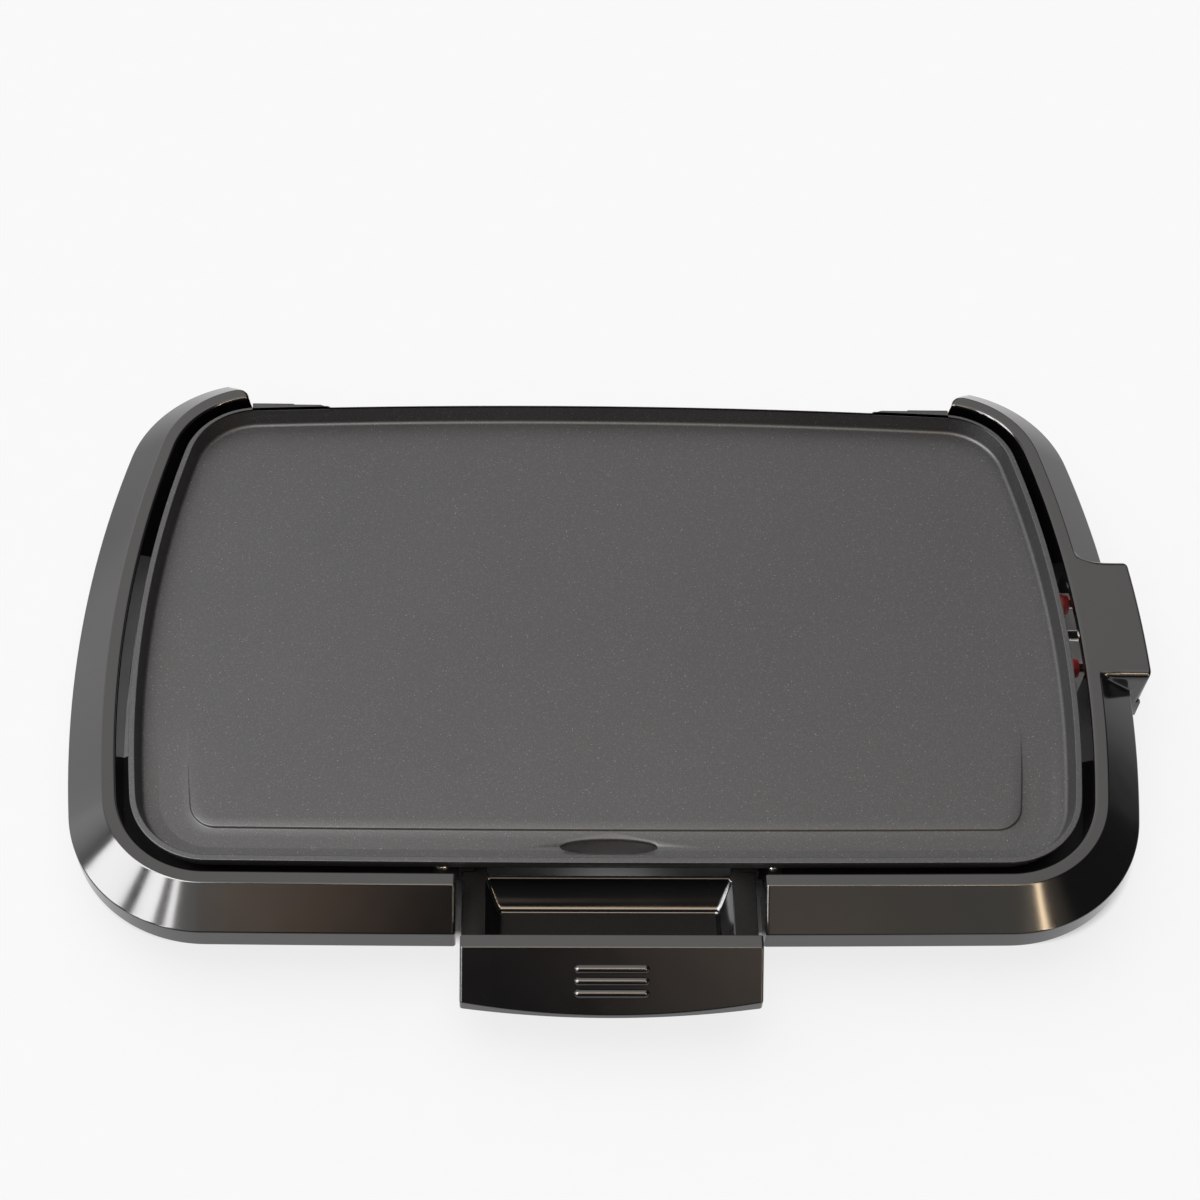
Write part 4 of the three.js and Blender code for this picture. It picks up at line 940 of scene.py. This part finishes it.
# The flanges, the trough's floor and rear wall and the panel's underside have a fine dull grain.
tray.data.materials.append(grained(
    "grained_black_inside", ((1100, 2.0), [(0.3, (0.008, 0.0072, 0.0066)), (0.75, (0.014, 0.0125, 0.0115))]),
    ((25, 3.0), [(0.35, 0.6), (0.65, 0.75)]), ((1100, 2.0), 0.5, 0.0001), Specular_IOR_Level=0.1))
flange_z, panel_y = place(0, 0, FLANGE_TOP)[2], place(0, PANEL_BACK, 0)[1]
for face in tray.data.polygons:
    flat_top = face.normal.z > 0.9 and abs(face.center.z - flange_z) < 0.6 * MM
    trough = face.center.z < flange_z - 2 * MM and (face.normal.z > 0.985 or face.normal.y < -0.8)
    if face.center.y > panel_y - 0.1 * MM and (flat_top or trough or face.normal.z < -0.3):
        face.material_index = 1
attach(tray, "tray")
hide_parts("drip_tray")

# ---------------------------------------------------------------- heater and its straps
# One loop of sheathed steel tube under the cooking area, both ends in the casting's boss. Four
# bent steel straps hold it up, each with one screw.

BEND = 18


def heater_spine():
    left, right = heater_low.x + TUBE / 2, -heater_low.x - TUBE / 2
    front, rear = heater_low.y + TUBE / 2, heater_high.y - TUBE / 2
    corners = [Vector((x, y, tube_z)) for x, y in (
        (heater_high.x, leaf_rear_y), (right, leaf_rear_y), (right, rear), (left, rear), (left, front),
        (right, front), (right, leaf_front_y), (heater_high.x, leaf_front_y))]
    spine = [corners[0]]
    for before, corner, after in zip(corners, corners[1:], corners[2:]):
        a = corner + (before - corner).normalized() * BEND
        b = corner + (after - corner).normalized() * BEND
        for k in range(13):
            t = k / 12
            spine.append(a * (1 - t) ** 2 + corner * 2 * t * (1 - t) + b * t * t)
    return spine + [corners[-1]]


def directions(path):
    """The direction of a path at each of its points."""
    return [(after - before).normalized() for before, after in zip(path[:1] + path, path[1:] + path[-1:])]


def heater_rows():
    rows = []
    spine = heater_spine()
    for spot, ahead in zip(spine, directions(spine)):
        across = Vector((-ahead.y, ahead.x, 0))
        rows.append([spot + across * (TUBE / 2) * math.cos(a) + Vector((0, 0, TUBE / 2 * math.sin(a)))
                     for a in round_turns(28)])
    return rows


def metal_finish(name, colour, light, rough, scale, stretch=(1, 1, 1)):
    """Bare or plated metal: colour and roughness wander, with fine marks along one direction."""
    finish, tree, shader, spots = new_finish(name, Metallic=1.0)
    along = wired(tree, "ShaderNodeMapping", {"Vector": spots, "Scale": stretch})
    marks = noise(tree, along.outputs["Vector"], scale, 3.0, 0.6)
    shade(tree, shader, (noise(tree, spots, scale / 40), [(0.36, colour), (0.62, light)]),
          (marks, [(0.3, rough[0]), (0.7, rough[1])]), (marks, 0.4, 0.00005))
    return finish


sheath_steel = metal_finish("heat_tinted_sheath", (0.2, 0.18, 0.165), (0.19, 0.17, 0.21), (0.3, 0.5), 900)
heater = solid_rows(heater_rows(), "heater_tube", sheath_steel)
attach(heater, "plate")
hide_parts("heating_element")


def zinc_sheet():
    """Zinc-plated pressed sheet: soft-edged spangle, rolling marks and a few dull patches."""
    finish, tree, shader, spots = new_finish("zinc_plated_sheet", Metallic=1.0)
    spangle = wired(tree, "ShaderNodeTexVoronoi", {"Vector": spots, "Scale": 170})
    split = wired(tree, "ShaderNodeSeparateColor", {"Color": spangle.outputs["Color"]})
    shade(tree, shader, (split.outputs["Red"], [(0, (0.42, 0.42, 0.43)), (1, (0.56, 0.56, 0.57))]),
          (noise(tree, spots, 22, 3.0, 0.6), [(0.35, 0.3), (0.7, 0.48)]),
          (noise(tree, spots, 1400), 0.25, 0.00005))
    return finish


zinc = zinc_sheet()
STRAP_WIDTH, STRAP_THICK, STRAP_INNER = 10, 1, 3.8


def bent_strap(node):
    """A strap bent round the tube, from ear to ear; the ears' ends are round."""
    low, high = measured(node)
    centre = (low.x + high.x) / 2
    tube_y = (heater_low.y if low.y < 0 else heater_high.y) + TUBE / 2 * (1 if low.y < 0 else -1)
    middle_radius = STRAP_INNER + STRAP_THICK / 2
    ear_z = high.z - STRAP_THICK / 2
    front, rear, below = tube_y - middle_radius, tube_y + middle_radius, tube_z - middle_radius
    corners = [Vector(p) for p in ((low.y, ear_z), (front, ear_z), (front, below), (rear, below),
                                   (rear, ear_z), (high.y, ear_z))]
    path = rounded_path(corners, [0, 1.0, 4.0, 4.0, 1.0, 0], [9, 1, 1, 1, 9], 7, 0.3)
    run = [0.0]
    for a, b in zip(path, path[1:]):
        run.append(run[-1] + (b - a).length)
    rows = []
    for spot, ahead, done in zip(path, directions(path), run):
        out = Vector((-ahead.y, ahead.x))
        near = min(1.0, min(done, run[-1] - done) / (STRAP_WIDTH / 2))
        half = max(1.2, STRAP_WIDTH / 2 * math.sqrt(1 - (1 - near) ** 2))
        t, e = STRAP_THICK / 2, 0.22
        section = [(-half, -t + e), (-half + e, -t), (half - e, -t), (half, -t + e),
                   (half, t - e), (half - e, t), (-half + e, t), (-half, t - e)]
        rows.append([[centre + u, spot.x + out.x * v, spot.y + out.y * v] for u, v in section])
    strap = solid_rows(rows, node.replace("element_clip", "heater_strap"), zinc)
    screw = middle(node.replace("clip_", "clip_screw_"))
    return combine(strap, [turned([(-3, 1.8), (3, 1.8)], (screw.x, screw.y, ear_z), "hole", zinc, sides=24)])


for number in (1, 2, 3, 4):
    strap = bent_strap(f"element_clip_{number}")
    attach(strap, "plate")
    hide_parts(f"element_clip_{number}")

# ---------------------------------------------------------------- terminals
# Two plated pins and the sensor sleeve stand out of a steel plate, ready for the plug-in
# thermostat. Each pin has a red silicone seal with two ribs at its root.

AXIS = 0.01  # the radius at which a round profile closes


def round_part(node, along="z"):
    """A round CAD part's length, radius and the centre of the end it starts from."""
    low, high = measured(node)
    middle_y = (low.y + high.y) / 2
    if along == "x":
        return high.x - low.x, (high.z - low.z) / 2, (low.x, middle_y, (low.z + high.z) / 2)
    return high.z - low.z, (high.x - low.x) / 2, ((low.x + high.x) / 2, middle_y, low.z)


bright = metal_finish("plated_steel", (0.68, 0.67, 0.65), (0.7616, 0.7504, 0.728), (0.1, 0.22), 1500,
                      (8, 1, 1))
for end in ("front", "rear"):
    length, radius, start = round_part(f"terminal_pin_{end}", "x")
    profile = [(0, AXIS), (0, radius - 0.3), (0.3, radius), (length - 2.6, radius)]
    profile += [(length - 2.6 + 2.6 * math.sin(a), radius - 1.7 * (1 - math.cos(a)))
                for a in angles(20, 40, 60, 75, 90)] + [(length, AXIS)]
    pin = turned(profile, start, f"contact_pin_{end}", bright, "x")
    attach(pin, "plate")
    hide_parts(f"terminal_pin_{end}")

length, radius, start = round_part("sensor_sleeve", "x")
sleeve = turned([(0, AXIS), (0, radius - 0.8), (0.8, radius), (length - 0.5, radius),
                 (length - 0.15, radius - 0.15), (length, radius - 0.5), (length - 0.2, 2.62),
                 (length - 0.9, 2.5), (1.5, 2.5), (1.5, AXIS)], start, "sensor_sleeve_tube", bright, "x")
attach(sleeve, "plate")
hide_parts("sensor_sleeve")


def soft_finish(name, colour, speck, rough, scale, depth, speck_share=0.74, **sockets):
    """Rubber or plain moulding: fine grain in colour and height, and a little dust."""
    dust = [(0, colour), (speck_share, colour), (speck_share + 0.06, speck)]
    return grained(name, ((scale * 0.6, 1.0), dust), ((30, 3.0), [(0.35, rough[0]), (0.65, rough[1])]),
                   ((scale, 2.0), 0.5, depth), **sockets)


def refinish(node, finish):
    """A CAD part whose shape is right keeps it and gets a new finish."""
    for material_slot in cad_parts[node].material_slots:
        material_slot.material = finish


silicone = soft_finish("red_silicone", (0.3, 0.012, 0.012), (0.42, 0.05, 0.045), (0.38, 0.55), 1600, 0.00004)
SEAL_BORE = 3.3
for end in ("front", "rear"):
    length, outer, start = round_part(f"pin_seal_{end}", "x")
    ribs = [(0, SEAL_BORE), (0, outer - 0.5), (0.5, outer), (2.3, outer), (2.7, outer - 0.7),
            (3.4, outer - 0.8), (4.1, outer - 0.7), (4.5, outer), (6.3, outer), (6.8, outer - 0.7),
            (length - 0.8, outer - 1.0), (length - 0.2, outer - 1.3), (length, outer - 1.9),
            (length, SEAL_BORE)]
    seal = turned(ribs, start, f"silicone_seal_{end}", silicone, "x", closed=True)
    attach(seal, "plate")
    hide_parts(f"pin_seal_{end}")
# Painted shade: the terminal plate and the base pan are made black to stand for the shade they lie in, under
# the hood and behind the gaps round the plate.
shade_black_sheet = soft_finish("sheet_black_painted_shade", (0.006, 0.006, 0.007), (0.02, 0.02, 0.02), (0.4, 0.52),
                          700, 0.00005, Specular_IOR_Level=0.12)
refinish("terminal_plate", shade_black_sheet)

# ---------------------------------------------------------------- tray rails
# Two moulded channels, heat-resistant and matt. Each takes one flange of the tray and is
# screwed down to the pan.

phenolic = soft_finish("matt_phenolic", (0.01, 0.009, 0.008), (0.03, 0.026, 0.023), (0.5, 0.68), 1100,
                       0.00008, 0.66, Specular_IOR_Level=0.12)
RAIL_WALL, RAIL_FOOT, RAIL_HOLE = 1.5, 14, 2.3
for hand, side in (("left", -1), ("right", 1)):
    low, high = measured(f"tray_rail_{hand}")
    inner, outer = (low.x, high.x) if side > 0 else (-high.x, -low.x)
    web, slot_z = outer - RAIL_FOOT, FLANGE_LOW - RUN_FIT
    section = round_corners(
        [(web, low.z), (outer, low.z), (outer, low.z + RAIL_WALL), (web, low.z + RAIL_WALL), (web, high.z),
         (inner, high.z), (inner, high.z - RAIL_WALL), (web - RAIL_WALL, high.z - RAIL_WALL),
         (web - RAIL_WALL, slot_z), (inner, slot_z), (inner, slot_z - RAIL_WALL),
         (web - RAIL_WALL, slot_z - RAIL_WALL), (web - RAIL_WALL, low.z)],
        [0, 0.4, 0.4, 0.9, 0.9, 0.4, 0.4, 0, 0, 0.4, 0.4, 0.6, 0])
    rows = [[[side * x, y, z] for x, z in section]
            for y in (low.y, low.y + 2, (low.y + high.y) / 2, high.y - 2, high.y)]
    tray_rail = solid_rows(rows, f"tray_channel_{hand}", phenolic)
    spots = [middle(f"tray_rail_screw_{hand}_{end}") for end in ("front", "rear")]
    combine(tray_rail, [turned([(-1, RAIL_HOLE), (RAIL_WALL + 1, RAIL_HOLE)], (spot.x, spot.y, low.z),
                               "hole", phenolic, sides=24) for spot in spots])
    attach(tray_rail, "base")
    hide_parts(f"tray_rail_{hand}")

# ---------------------------------------------------------------- base pan, posts, legs and feet
# A pressed steel pan closes the underside. Four posts on it carry the plate; four tapered legs
# with rubber pads stand below them, each held by a long screw from underneath.

# The pan's black is painted shade, like the terminal plate's.
refinish("base_pan", shade_black_sheet)
leg_black = soft_finish("grained_black_moulding", (0.014, 0.014, 0.015), (0.035, 0.035, 0.036), (0.38, 0.55),
                        850, 0.0001)
foot_rubber = soft_finish("foot_rubber", (0.02, 0.02, 0.02), (0.05, 0.048, 0.045), (0.72, 0.88), 1300,
                          0.0001, 0.66)
POST_HOLE, LEG_HOLE, LEG_RECESS, LEG_FOOT = 2.1, 2.3, 4.8, 13.5
corners = ("front_left", "front_right", "rear_left", "rear_right")
for corner in corners:
    height, radius, start = round_part(f"support_post_{corner}")
    profile = [(0, POST_HOLE), (0, radius - 0.3), (0.3, radius), (2.4, radius), (2.9, radius - 0.7),
               (height - 2.6, radius - 0.7), (height - 2.1, radius), (height - 0.7, radius),
               (height - 0.2, radius - 0.25), (height, radius - 0.8), (height, AXIS), (8, AXIS),
               (8, POST_HOLE)]
    post = turned(profile, start, f"plate_post_{corner}", phenolic, closed=True)
    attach(post, "base")
    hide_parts(f"support_post_{corner}")

    height, radius, start = round_part(f"leg_{corner}")
    profile = round_corners([(0, LEG_RECESS), (0, LEG_FOOT), (2.0, LEG_FOOT + 0.3), (2.5, LEG_FOOT - 0.3),
                             (3.2, LEG_FOOT + 0.45), (height, radius), (height, LEG_HOLE), (5, LEG_HOLE),
                             (5, LEG_RECESS)], [0.3, 0.5, 0.2, 0.2, 0.2, 0.6, 0.2, 0.2, 0.2])
    leg = turned(profile, start, f"tapered_leg_{corner}", leg_black, sides=56, closed=True)
    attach(leg, "base")
    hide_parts(f"leg_{corner}")

    height, radius, start = round_part(f"foot_pad_{corner}")
    profile = [(0, AXIS), (0, 3.6), (0.5, 4.0), (0.5, 4.9), (0, 5.3), (0, 8.0), (0.5, 8.4), (0.5, 9.3),
               (0, 9.7), (0, radius - 0.9), (0.26, radius - 0.27), (0.9, radius), (height - 0.8, radius),
               (height - 0.2, radius - 0.2), (height, radius - 0.8), (height, AXIS)]
    pad = turned(profile, start, f"rubber_foot_{corner}", foot_rubber, sides=56)
    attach(pad, "base")
    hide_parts(f"foot_pad_{corner}")

# ---------------------------------------------------------------- screws
# Zinc-plated pan heads with a cross recess and a rolled thread. One rule makes them all; each
# stands where its hole is, head outwards.

screw_zinc = metal_finish("zinc_plated_screw", (0.5, 0.5, 0.49), (0.58, 0.56, 0.47), (0.22, 0.36), 1800)


def mathed(tree, operation, *values, clamp=False):
    return wired(tree, "ShaderNodeMath", dict(enumerate(values)), operation=operation,
                 use_clamp=clamp).outputs[0]


def screw_maker():
    """A node tree that puts one screw on each point of a mesh, turned to its 'facing'."""
    tree = bpy.data.node_groups.new("screws", "GeometryNodeTree")
    face, sockets = tree.interface, {}
    face.new_socket("Geometry", in_out="INPUT", socket_type="NodeSocketGeometry")
    for label in ("Head Width", "Head Height", "Shank Width", "Length", "Pitch", "Finish"):
        kind = "NodeSocketMaterial" if label == "Finish" else "NodeSocketFloat"
        sockets[label] = face.new_socket(label, in_out="INPUT", socket_type=kind).identifier
    face.new_socket("Geometry", in_out="OUTPUT", socket_type="NodeSocketGeometry")
    given, made = tree.nodes.new("NodeGroupInput").outputs, tree.nodes.new("NodeGroupOutput")
    head_wide, head_high, shank_wide, length = (
        given[label] for label in ("Head Width", "Head Height", "Shank Width", "Length"))

    def maths(operation):
        return lambda *values: mathed(tree, operation, *values)

    add, subtract, multiply, divide = map(maths, ("ADD", "SUBTRACT", "MULTIPLY", "DIVIDE"))

    # A rod of unit size, whose rings are moved to the head's and the thread's radius.
    rod = wired(tree, "GeometryNodeMeshCylinder",
                {"Vertices": 24, "Side Segments": 40, "Radius": 1, "Depth": 1})
    position = tree.nodes.new("GeometryNodeInputPosition").outputs[0]
    split = wired(tree, "ShaderNodeSeparateXYZ", {0: position}).outputs
    whole = add(length, head_high)
    z = subtract(multiply(add(split["Z"], 0.5), whole), length)
    rise = divide(z, head_high)
    dome = subtract(1, multiply(maths("POWER")(maths("MAXIMUM")(rise, 0.0), 3), 0.3))
    head = multiply(dome, multiply(head_wide, 0.5))
    wave = maths("SINE")(multiply(divide(z, given["Pitch"]), 2 * math.pi))
    ridge = add(0.93, multiply(wave, 0.07))
    from_tip = add(z, length)
    taper = maths("MINIMUM")(1, add(0.55, divide(from_tip, shank_wide)))
    shank = multiply(multiply(ridge, taper), multiply(shank_wide, 0.5))
    above = maths("GREATER_THAN")(z, -0.00005)
    radius = add(multiply(head, above), multiply(shank, subtract(1, above)))
    moved = wired(tree, "ShaderNodeCombineXYZ",
                  {"X": multiply(split["X"], radius), "Y": multiply(split["Y"], radius), "Z": z})
    shaped = wired(tree, "GeometryNodeSetPosition",
                   {"Geometry": rod.outputs["Mesh"], "Position": moved.outputs[0]})

    # The cross recess: two bars cut out of the head.
    cut = wired(tree, "GeometryNodeMeshBoolean", {"Mesh 1": shaped.outputs[0]},
                operation="DIFFERENCE", solver="EXACT")
    for long, wide in ((0.56, 0.13), (0.13, 0.56)):
        size = wired(tree, "ShaderNodeCombineXYZ", {
            "X": multiply(head_wide, long), "Y": multiply(head_wide, wide),
            "Z": multiply(head_high, 1.3)})
        bar = wired(tree, "GeometryNodeMeshCube", {"Size": size.outputs[0]})
        lift = wired(tree, "ShaderNodeCombineXYZ", {"Z": head_high})
        raised = wired(tree, "GeometryNodeTransform", {"Geometry": bar.outputs["Mesh"],
                                                       "Translation": lift.outputs[0]})
        tree.links.new(raised.outputs[0], cut.inputs["Mesh 2"])

    facing = wired(tree, "GeometryNodeInputNamedAttribute", {}, data_type="FLOAT_VECTOR")
    facing.inputs["Name"].default_value = "facing"
    turned_to = wired(tree, "FunctionNodeAlignEulerToVector", {"Vector": facing.outputs[0]}, axis="Z")
    spots = wired(tree, "GeometryNodeMeshToPoints", {"Mesh": given["Geometry"]})
    copies = wired(tree, "GeometryNodeInstanceOnPoints", {
        "Points": spots.outputs[0], "Instance": cut.outputs["Mesh"], "Rotation": turned_to.outputs[0]})
    real = wired(tree, "GeometryNodeRealizeInstances", {0: copies.outputs[0]})
    coated = wired(tree, "GeometryNodeSetMaterial",
                   {"Geometry": real.outputs[0], "Material": given["Finish"]})
    tree.links.new(coated.outputs[0], made.inputs["Geometry"])
    return tree, sockets


screw_tree, screw_sockets = screw_maker()


def screw_set(name, nodes_of_set, facing, width, height, shank, body):
    """All the screws of one kind on one body, in one plain mesh."""
    seats = []
    for low, high in map(measured, nodes_of_set):
        centre = (low + high) / 2
        if facing[0]:
            seats.append((high.x - height, centre.y, centre.z))
        else:
            seats.append((centre.x, centre.y, low.z + height if facing[2] < 0 else high.z - height))
    low, high = measured(nodes_of_set[0])
    length = (high.x - low.x if facing[0] else high.z - low.z) - height
    mesh = bpy.data.meshes.new(name)
    mesh.from_pydata([place(*seat) for seat in seats], [], [])
    for entry in mesh.attributes.new("facing", "FLOAT_VECTOR", "POINT").data:
        entry.vector = facing
    holder = new_object(name, mesh)
    maker = holder.modifiers.new("screws", "NODES")
    maker.node_group = screw_tree
    for label, size in (("Head Width", width), ("Head Height", height), ("Shank Width", shank),
                        ("Length", length), ("Pitch", shank * 0.3)):
        maker[screw_sockets[label]] = size * MM
    maker[screw_sockets["Finish"]] = screw_zinc
    shown = holder.evaluated_get(bpy.context.evaluated_depsgraph_get())
    solid = bpy.data.meshes.new_from_object(shown)
    bpy.data.objects.remove(holder)
    piece = piece_of(solid, name, screw_zinc, 40)
    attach(piece, body)
    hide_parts(*nodes_of_set)


LARGE, SMALL = (7.5, 2.4, 4), (6, 1.8, 3)  # head's width and height, shank's width
UP, DOWN, RIGHT = (0, 0, 1), (0, 0, -1), (1, 0, 0)
screw_set("leg_screws", [f"leg_screw_{c}" for c in corners], DOWN, *LARGE, "base")
screw_set("surround_screws", [f"surround_screw_{end}_{hand}" for end in ("front", "middle", "rear")
                              for hand in ("left", "right")], DOWN, *LARGE, "base")
screw_set("rail_screws", [f"tray_rail_screw_{hand}_{end}" for hand in ("left", "right")
                          for end in ("front", "rear")], UP, *LARGE, "base")
screw_set("strap_screws", [f"element_clip_screw_{n}" for n in (1, 2, 3, 4)], DOWN, *SMALL, "plate")
screw_set("terminal_screws", [f"terminal_plate_screw_{end}" for end in ("front", "rear")], RIGHT, *SMALL,
          "plate")

# ---------------------------------------------------------------- floor
# A pale studio floor. It glows a little, for the camera and in reflections, so that it reads
# white with the griddle's shadow on it. Under the griddle it doesn't glow and stays dark.

FLOOR_REACH = 12.0
floor_mesh = bpy.data.meshes.new("floor")
floor_mesh.from_pydata([(-FLOOR_REACH, -FLOOR_REACH, 0), (FLOOR_REACH, -FLOOR_REACH, 0),
                        (FLOOR_REACH, FLOOR_REACH, 0), (-FLOOR_REACH, FLOOR_REACH, 0)], [], [(0, 1, 2, 3)])
floor = new_object("floor", floor_mesh)
floor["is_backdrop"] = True
floor_finish, tree, shader, spots = new_finish("pale_floor", Roughness=0.85, Specular_IOR_Level=0.1)
shade(tree, shader, (noise(tree, spots, 60), [(0.3, 0.84), (0.7, 0.87)]))

# How far inside the griddle's own footprint a point of the floor lies.
UNDER_X0, UNDER_X1, UNDER_Y0, UNDER_Y1 = -0.294, 0.3, -0.179, 0.165
UNDER_SOFT, UNDER_CORNER = 0.008, 0.07
split = wired(tree, "ShaderNodeSeparateXYZ", {0: spots})
over = []
for axis, centre, low, high in (("X", middle_x, UNDER_X0, UNDER_X1), ("Y", middle_y, UNDER_Y0, UNDER_Y1)):
    away = mathed(tree, "ABSOLUTE", mathed(tree, "SUBTRACT", split.outputs[axis], centre + (low + high) / 2))
    past = mathed(tree, "SUBTRACT", away, (high - low) / 2 - UNDER_CORNER)
    over.append(mathed(tree, "POWER", mathed(tree, "MAXIMUM", past, 0.0), 2.0))
away = mathed(tree, "SQRT", mathed(tree, "ADD", *over))
depth = mathed(tree, "SUBTRACT", UNDER_CORNER, away)
outside = mathed(tree, "SUBTRACT", 1.0, mathed(tree, "DIVIDE", depth, UNDER_SOFT, clamp=True))

path = tree.nodes.new("ShaderNodeLightPath").outputs
seen = mathed(tree, "MAXIMUM", path["Is Camera Ray"], path["Is Glossy Ray"])
FLOOR_GLOW = 0.8
share = mathed(tree, "MULTIPLY", mathed(tree, "MULTIPLY", seen, FLOOR_GLOW), outside)
WHITE = (1, 1, 1, 1)
glow = wired(tree, "ShaderNodeEmission", {"Color": WHITE})
mix = wired(tree, "ShaderNodeMixShader", {"Fac": share, 1: shader.outputs[0], 2: glow.outputs[0]})
tree.links.new(mix.outputs[0], tree.nodes["Material Output"].inputs["Surface"])
floor_mesh.materials.append(floor_finish)

# ---------------------------------------------------------------- room light
# A dim room with soft pools of light: overhead behind, along both sides, in front on both sides
# of a darker gap, and straight above. The camera itself sees plain white behind the floor.

world = bpy.data.worlds.new("studio")
bpy.context.scene.world = world
world.use_nodes = True
tree = world.node_tree
looking = tree.nodes.new("ShaderNodeTexCoord").outputs["Generated"]


def heading(azimuth, elevation):
    a, e = math.radians(azimuth), math.radians(elevation)
    return Vector((math.cos(a) * math.cos(e), math.sin(a) * math.cos(e), math.sin(e)))


def pool(azimuth, elevation, inner, outer, colour):
    """A soft round pool of light in the room: full inside one angle, gone outside the other."""
    facing = wired(tree, "ShaderNodeVectorMath", {0: looking, 1: heading(azimuth, elevation)},
                   operation="DOT_PRODUCT")
    fade = wired(tree, "ShaderNodeMapRange", {
        "Value": facing.outputs["Value"], "From Min": math.cos(math.radians(outer)),
        "From Max": math.cos(math.radians(inner))}, interpolation_type="SMOOTHSTEP")
    return wired(tree, "ShaderNodeVectorMath", {0: colour, "Scale": fade.outputs["Result"]},
                 operation="SCALE").outputs[0]


ROOM = (0.046, 0.047, 0.054)
pools = [
    (106, 57, 10, 52, (1.62, 1.59, 1.54)),      # overhead, behind
    (148, 6, 14, 42, (1.5, 1.5, 1.52)),         # along the left
    (170, 8, 4, 14, (0.7, 0.7, 0.7)),
    (44, -1, 11, 22, (0.72, 0.69, 0.74)),       # along the right, behind
    (-122, 44, 10, 19, (1.3, 1.25, 1.18)),      # in front, left
    (-99, 44, 0.5, 4, (0.85, 0.5, 0.3)),
    (-68, 41, 6, 15, (0.66, 0.62, 0.54)),       # in front, right
    (-82, 42, 0.5, 5, (0.6, 0.4, 0.3)),
    (-52, 35, 4, 16, (0.4, 0.34, 0.28)),
    (-90, 88, 10, 30, (1.2, 1.2, 1.2)),         # straight above
]
total = pool(*pools[0])
for entry in pools[1:]:
    total = wired(tree, "ShaderNodeVectorMath", {0: total, 1: pool(*entry)}).outputs[0]
total = wired(tree, "ShaderNodeVectorMath", {0: total, 1: ROOM}).outputs[0]
room = tree.nodes["Background"]
tree.links.new(total, room.inputs["Color"])
plain = wired(tree, "ShaderNodeBackground", {"Color": WHITE})
seen = tree.nodes.new("ShaderNodeLightPath").outputs["Is Camera Ray"]
mix = wired(tree, "ShaderNodeMixShader", {"Fac": seen, 1: room.outputs[0], 2: plain.outputs[0]})
tree.links.new(mix.outputs[0], tree.nodes["World Output"].inputs["Surface"])

# ---------------------------------------------------------------- windows
# Three tall panes of daylight at the left, wide to narrow towards the front, and three warm
# lamps: one high in front and two at the front right.


def soft_lamp(name, azimuth, elevation, distance, width, height, brightness, colour=(1, 1, 1)):
    """A rectangular lamp facing the griddle; brightness is what a mirror would show of it."""
    light = bpy.data.lights.new(name, "AREA")
    light.shape = "RECTANGLE"
    light.size, light.size_y = width, height
    light.energy = brightness * math.pi * width * height
    light.color = colour
    lamp = new_object(name, light)
    lamp.location = heading(azimuth, elevation) * distance
    lamp.rotation_euler = (-heading(azimuth, elevation)).to_track_quat("-Z", "Y").to_euler()
    lamp.visible_camera = lamp.visible_diffuse = False


WINDOW_UP, WINDOW_AWAY, WINDOW_HEIGHT, DAYLIGHT = 43, 3.2, 3.3, 15
for name, azimuth, width in (("window_wide", -164, 1.3), ("window_middle", -139.5, 0.54),
                             ("window_narrow", -125.5, 0.2)):
    soft_lamp(name, azimuth, WINDOW_UP, WINDOW_AWAY, width, WINDOW_HEIGHT, DAYLIGHT)
warm = (1, 0.76, 0.54)
soft_lamp("warm_ceiling_lamp", -86, 68, 3.0, 1.0, 0.8, 7, warm)
soft_lamp("warm_corner_lamp", -57, 57, 3.0, 0.5, 0.5, 16, warm)
soft_lamp("warm_strip_lamp", -51, 35, 3.0, 0.12, 1.6, 26, (1, 0.76, 0.5))

# ---------------------------------------------------------------- camera
# It stands in front of the griddle and looks down on it, a little turned and rolled.

LOOK_DOWN = math.radians(55.93)
TURN = math.radians(3.68)
ROLL = math.radians(-3.48)
DISTANCE = 1260.7
SHIFT = (-4.1, 10.9)


def unturned(x, y, z):
    return Vector((x * math.cos(TURN) + y * math.sin(TURN), -x * math.sin(TURN) + y * math.cos(TURN), z))


eye = unturned(SHIFT[0], -DISTANCE * math.cos(LOOK_DOWN) + SHIFT[1], DISTANCE * math.sin(LOOK_DOWN))
right = unturned(1, 0, 0)
up = unturned(0, math.sin(LOOK_DOWN), math.cos(LOOK_DOWN))
ahead = unturned(0, math.cos(LOOK_DOWN), -math.sin(LOOK_DOWN))
across = right * math.cos(ROLL) - up * math.sin(ROLL)
upward = right * math.sin(ROLL) + up * math.cos(ROLL)
lens = bpy.data.cameras.new("camera")
lens.lens = 66
lens.sensor_width = 36
lens.clip_start, lens.clip_end = 0.05, 60
camera = new_object("camera", lens)
facing = Matrix((across, upward, -ahead)).transposed().to_4x4()
camera.matrix_world = Matrix.Translation(place(*eye)) @ facing
bpy.context.scene.camera = camera
bpy.context.scene.view_settings.view_transform = "Standard"

low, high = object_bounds()
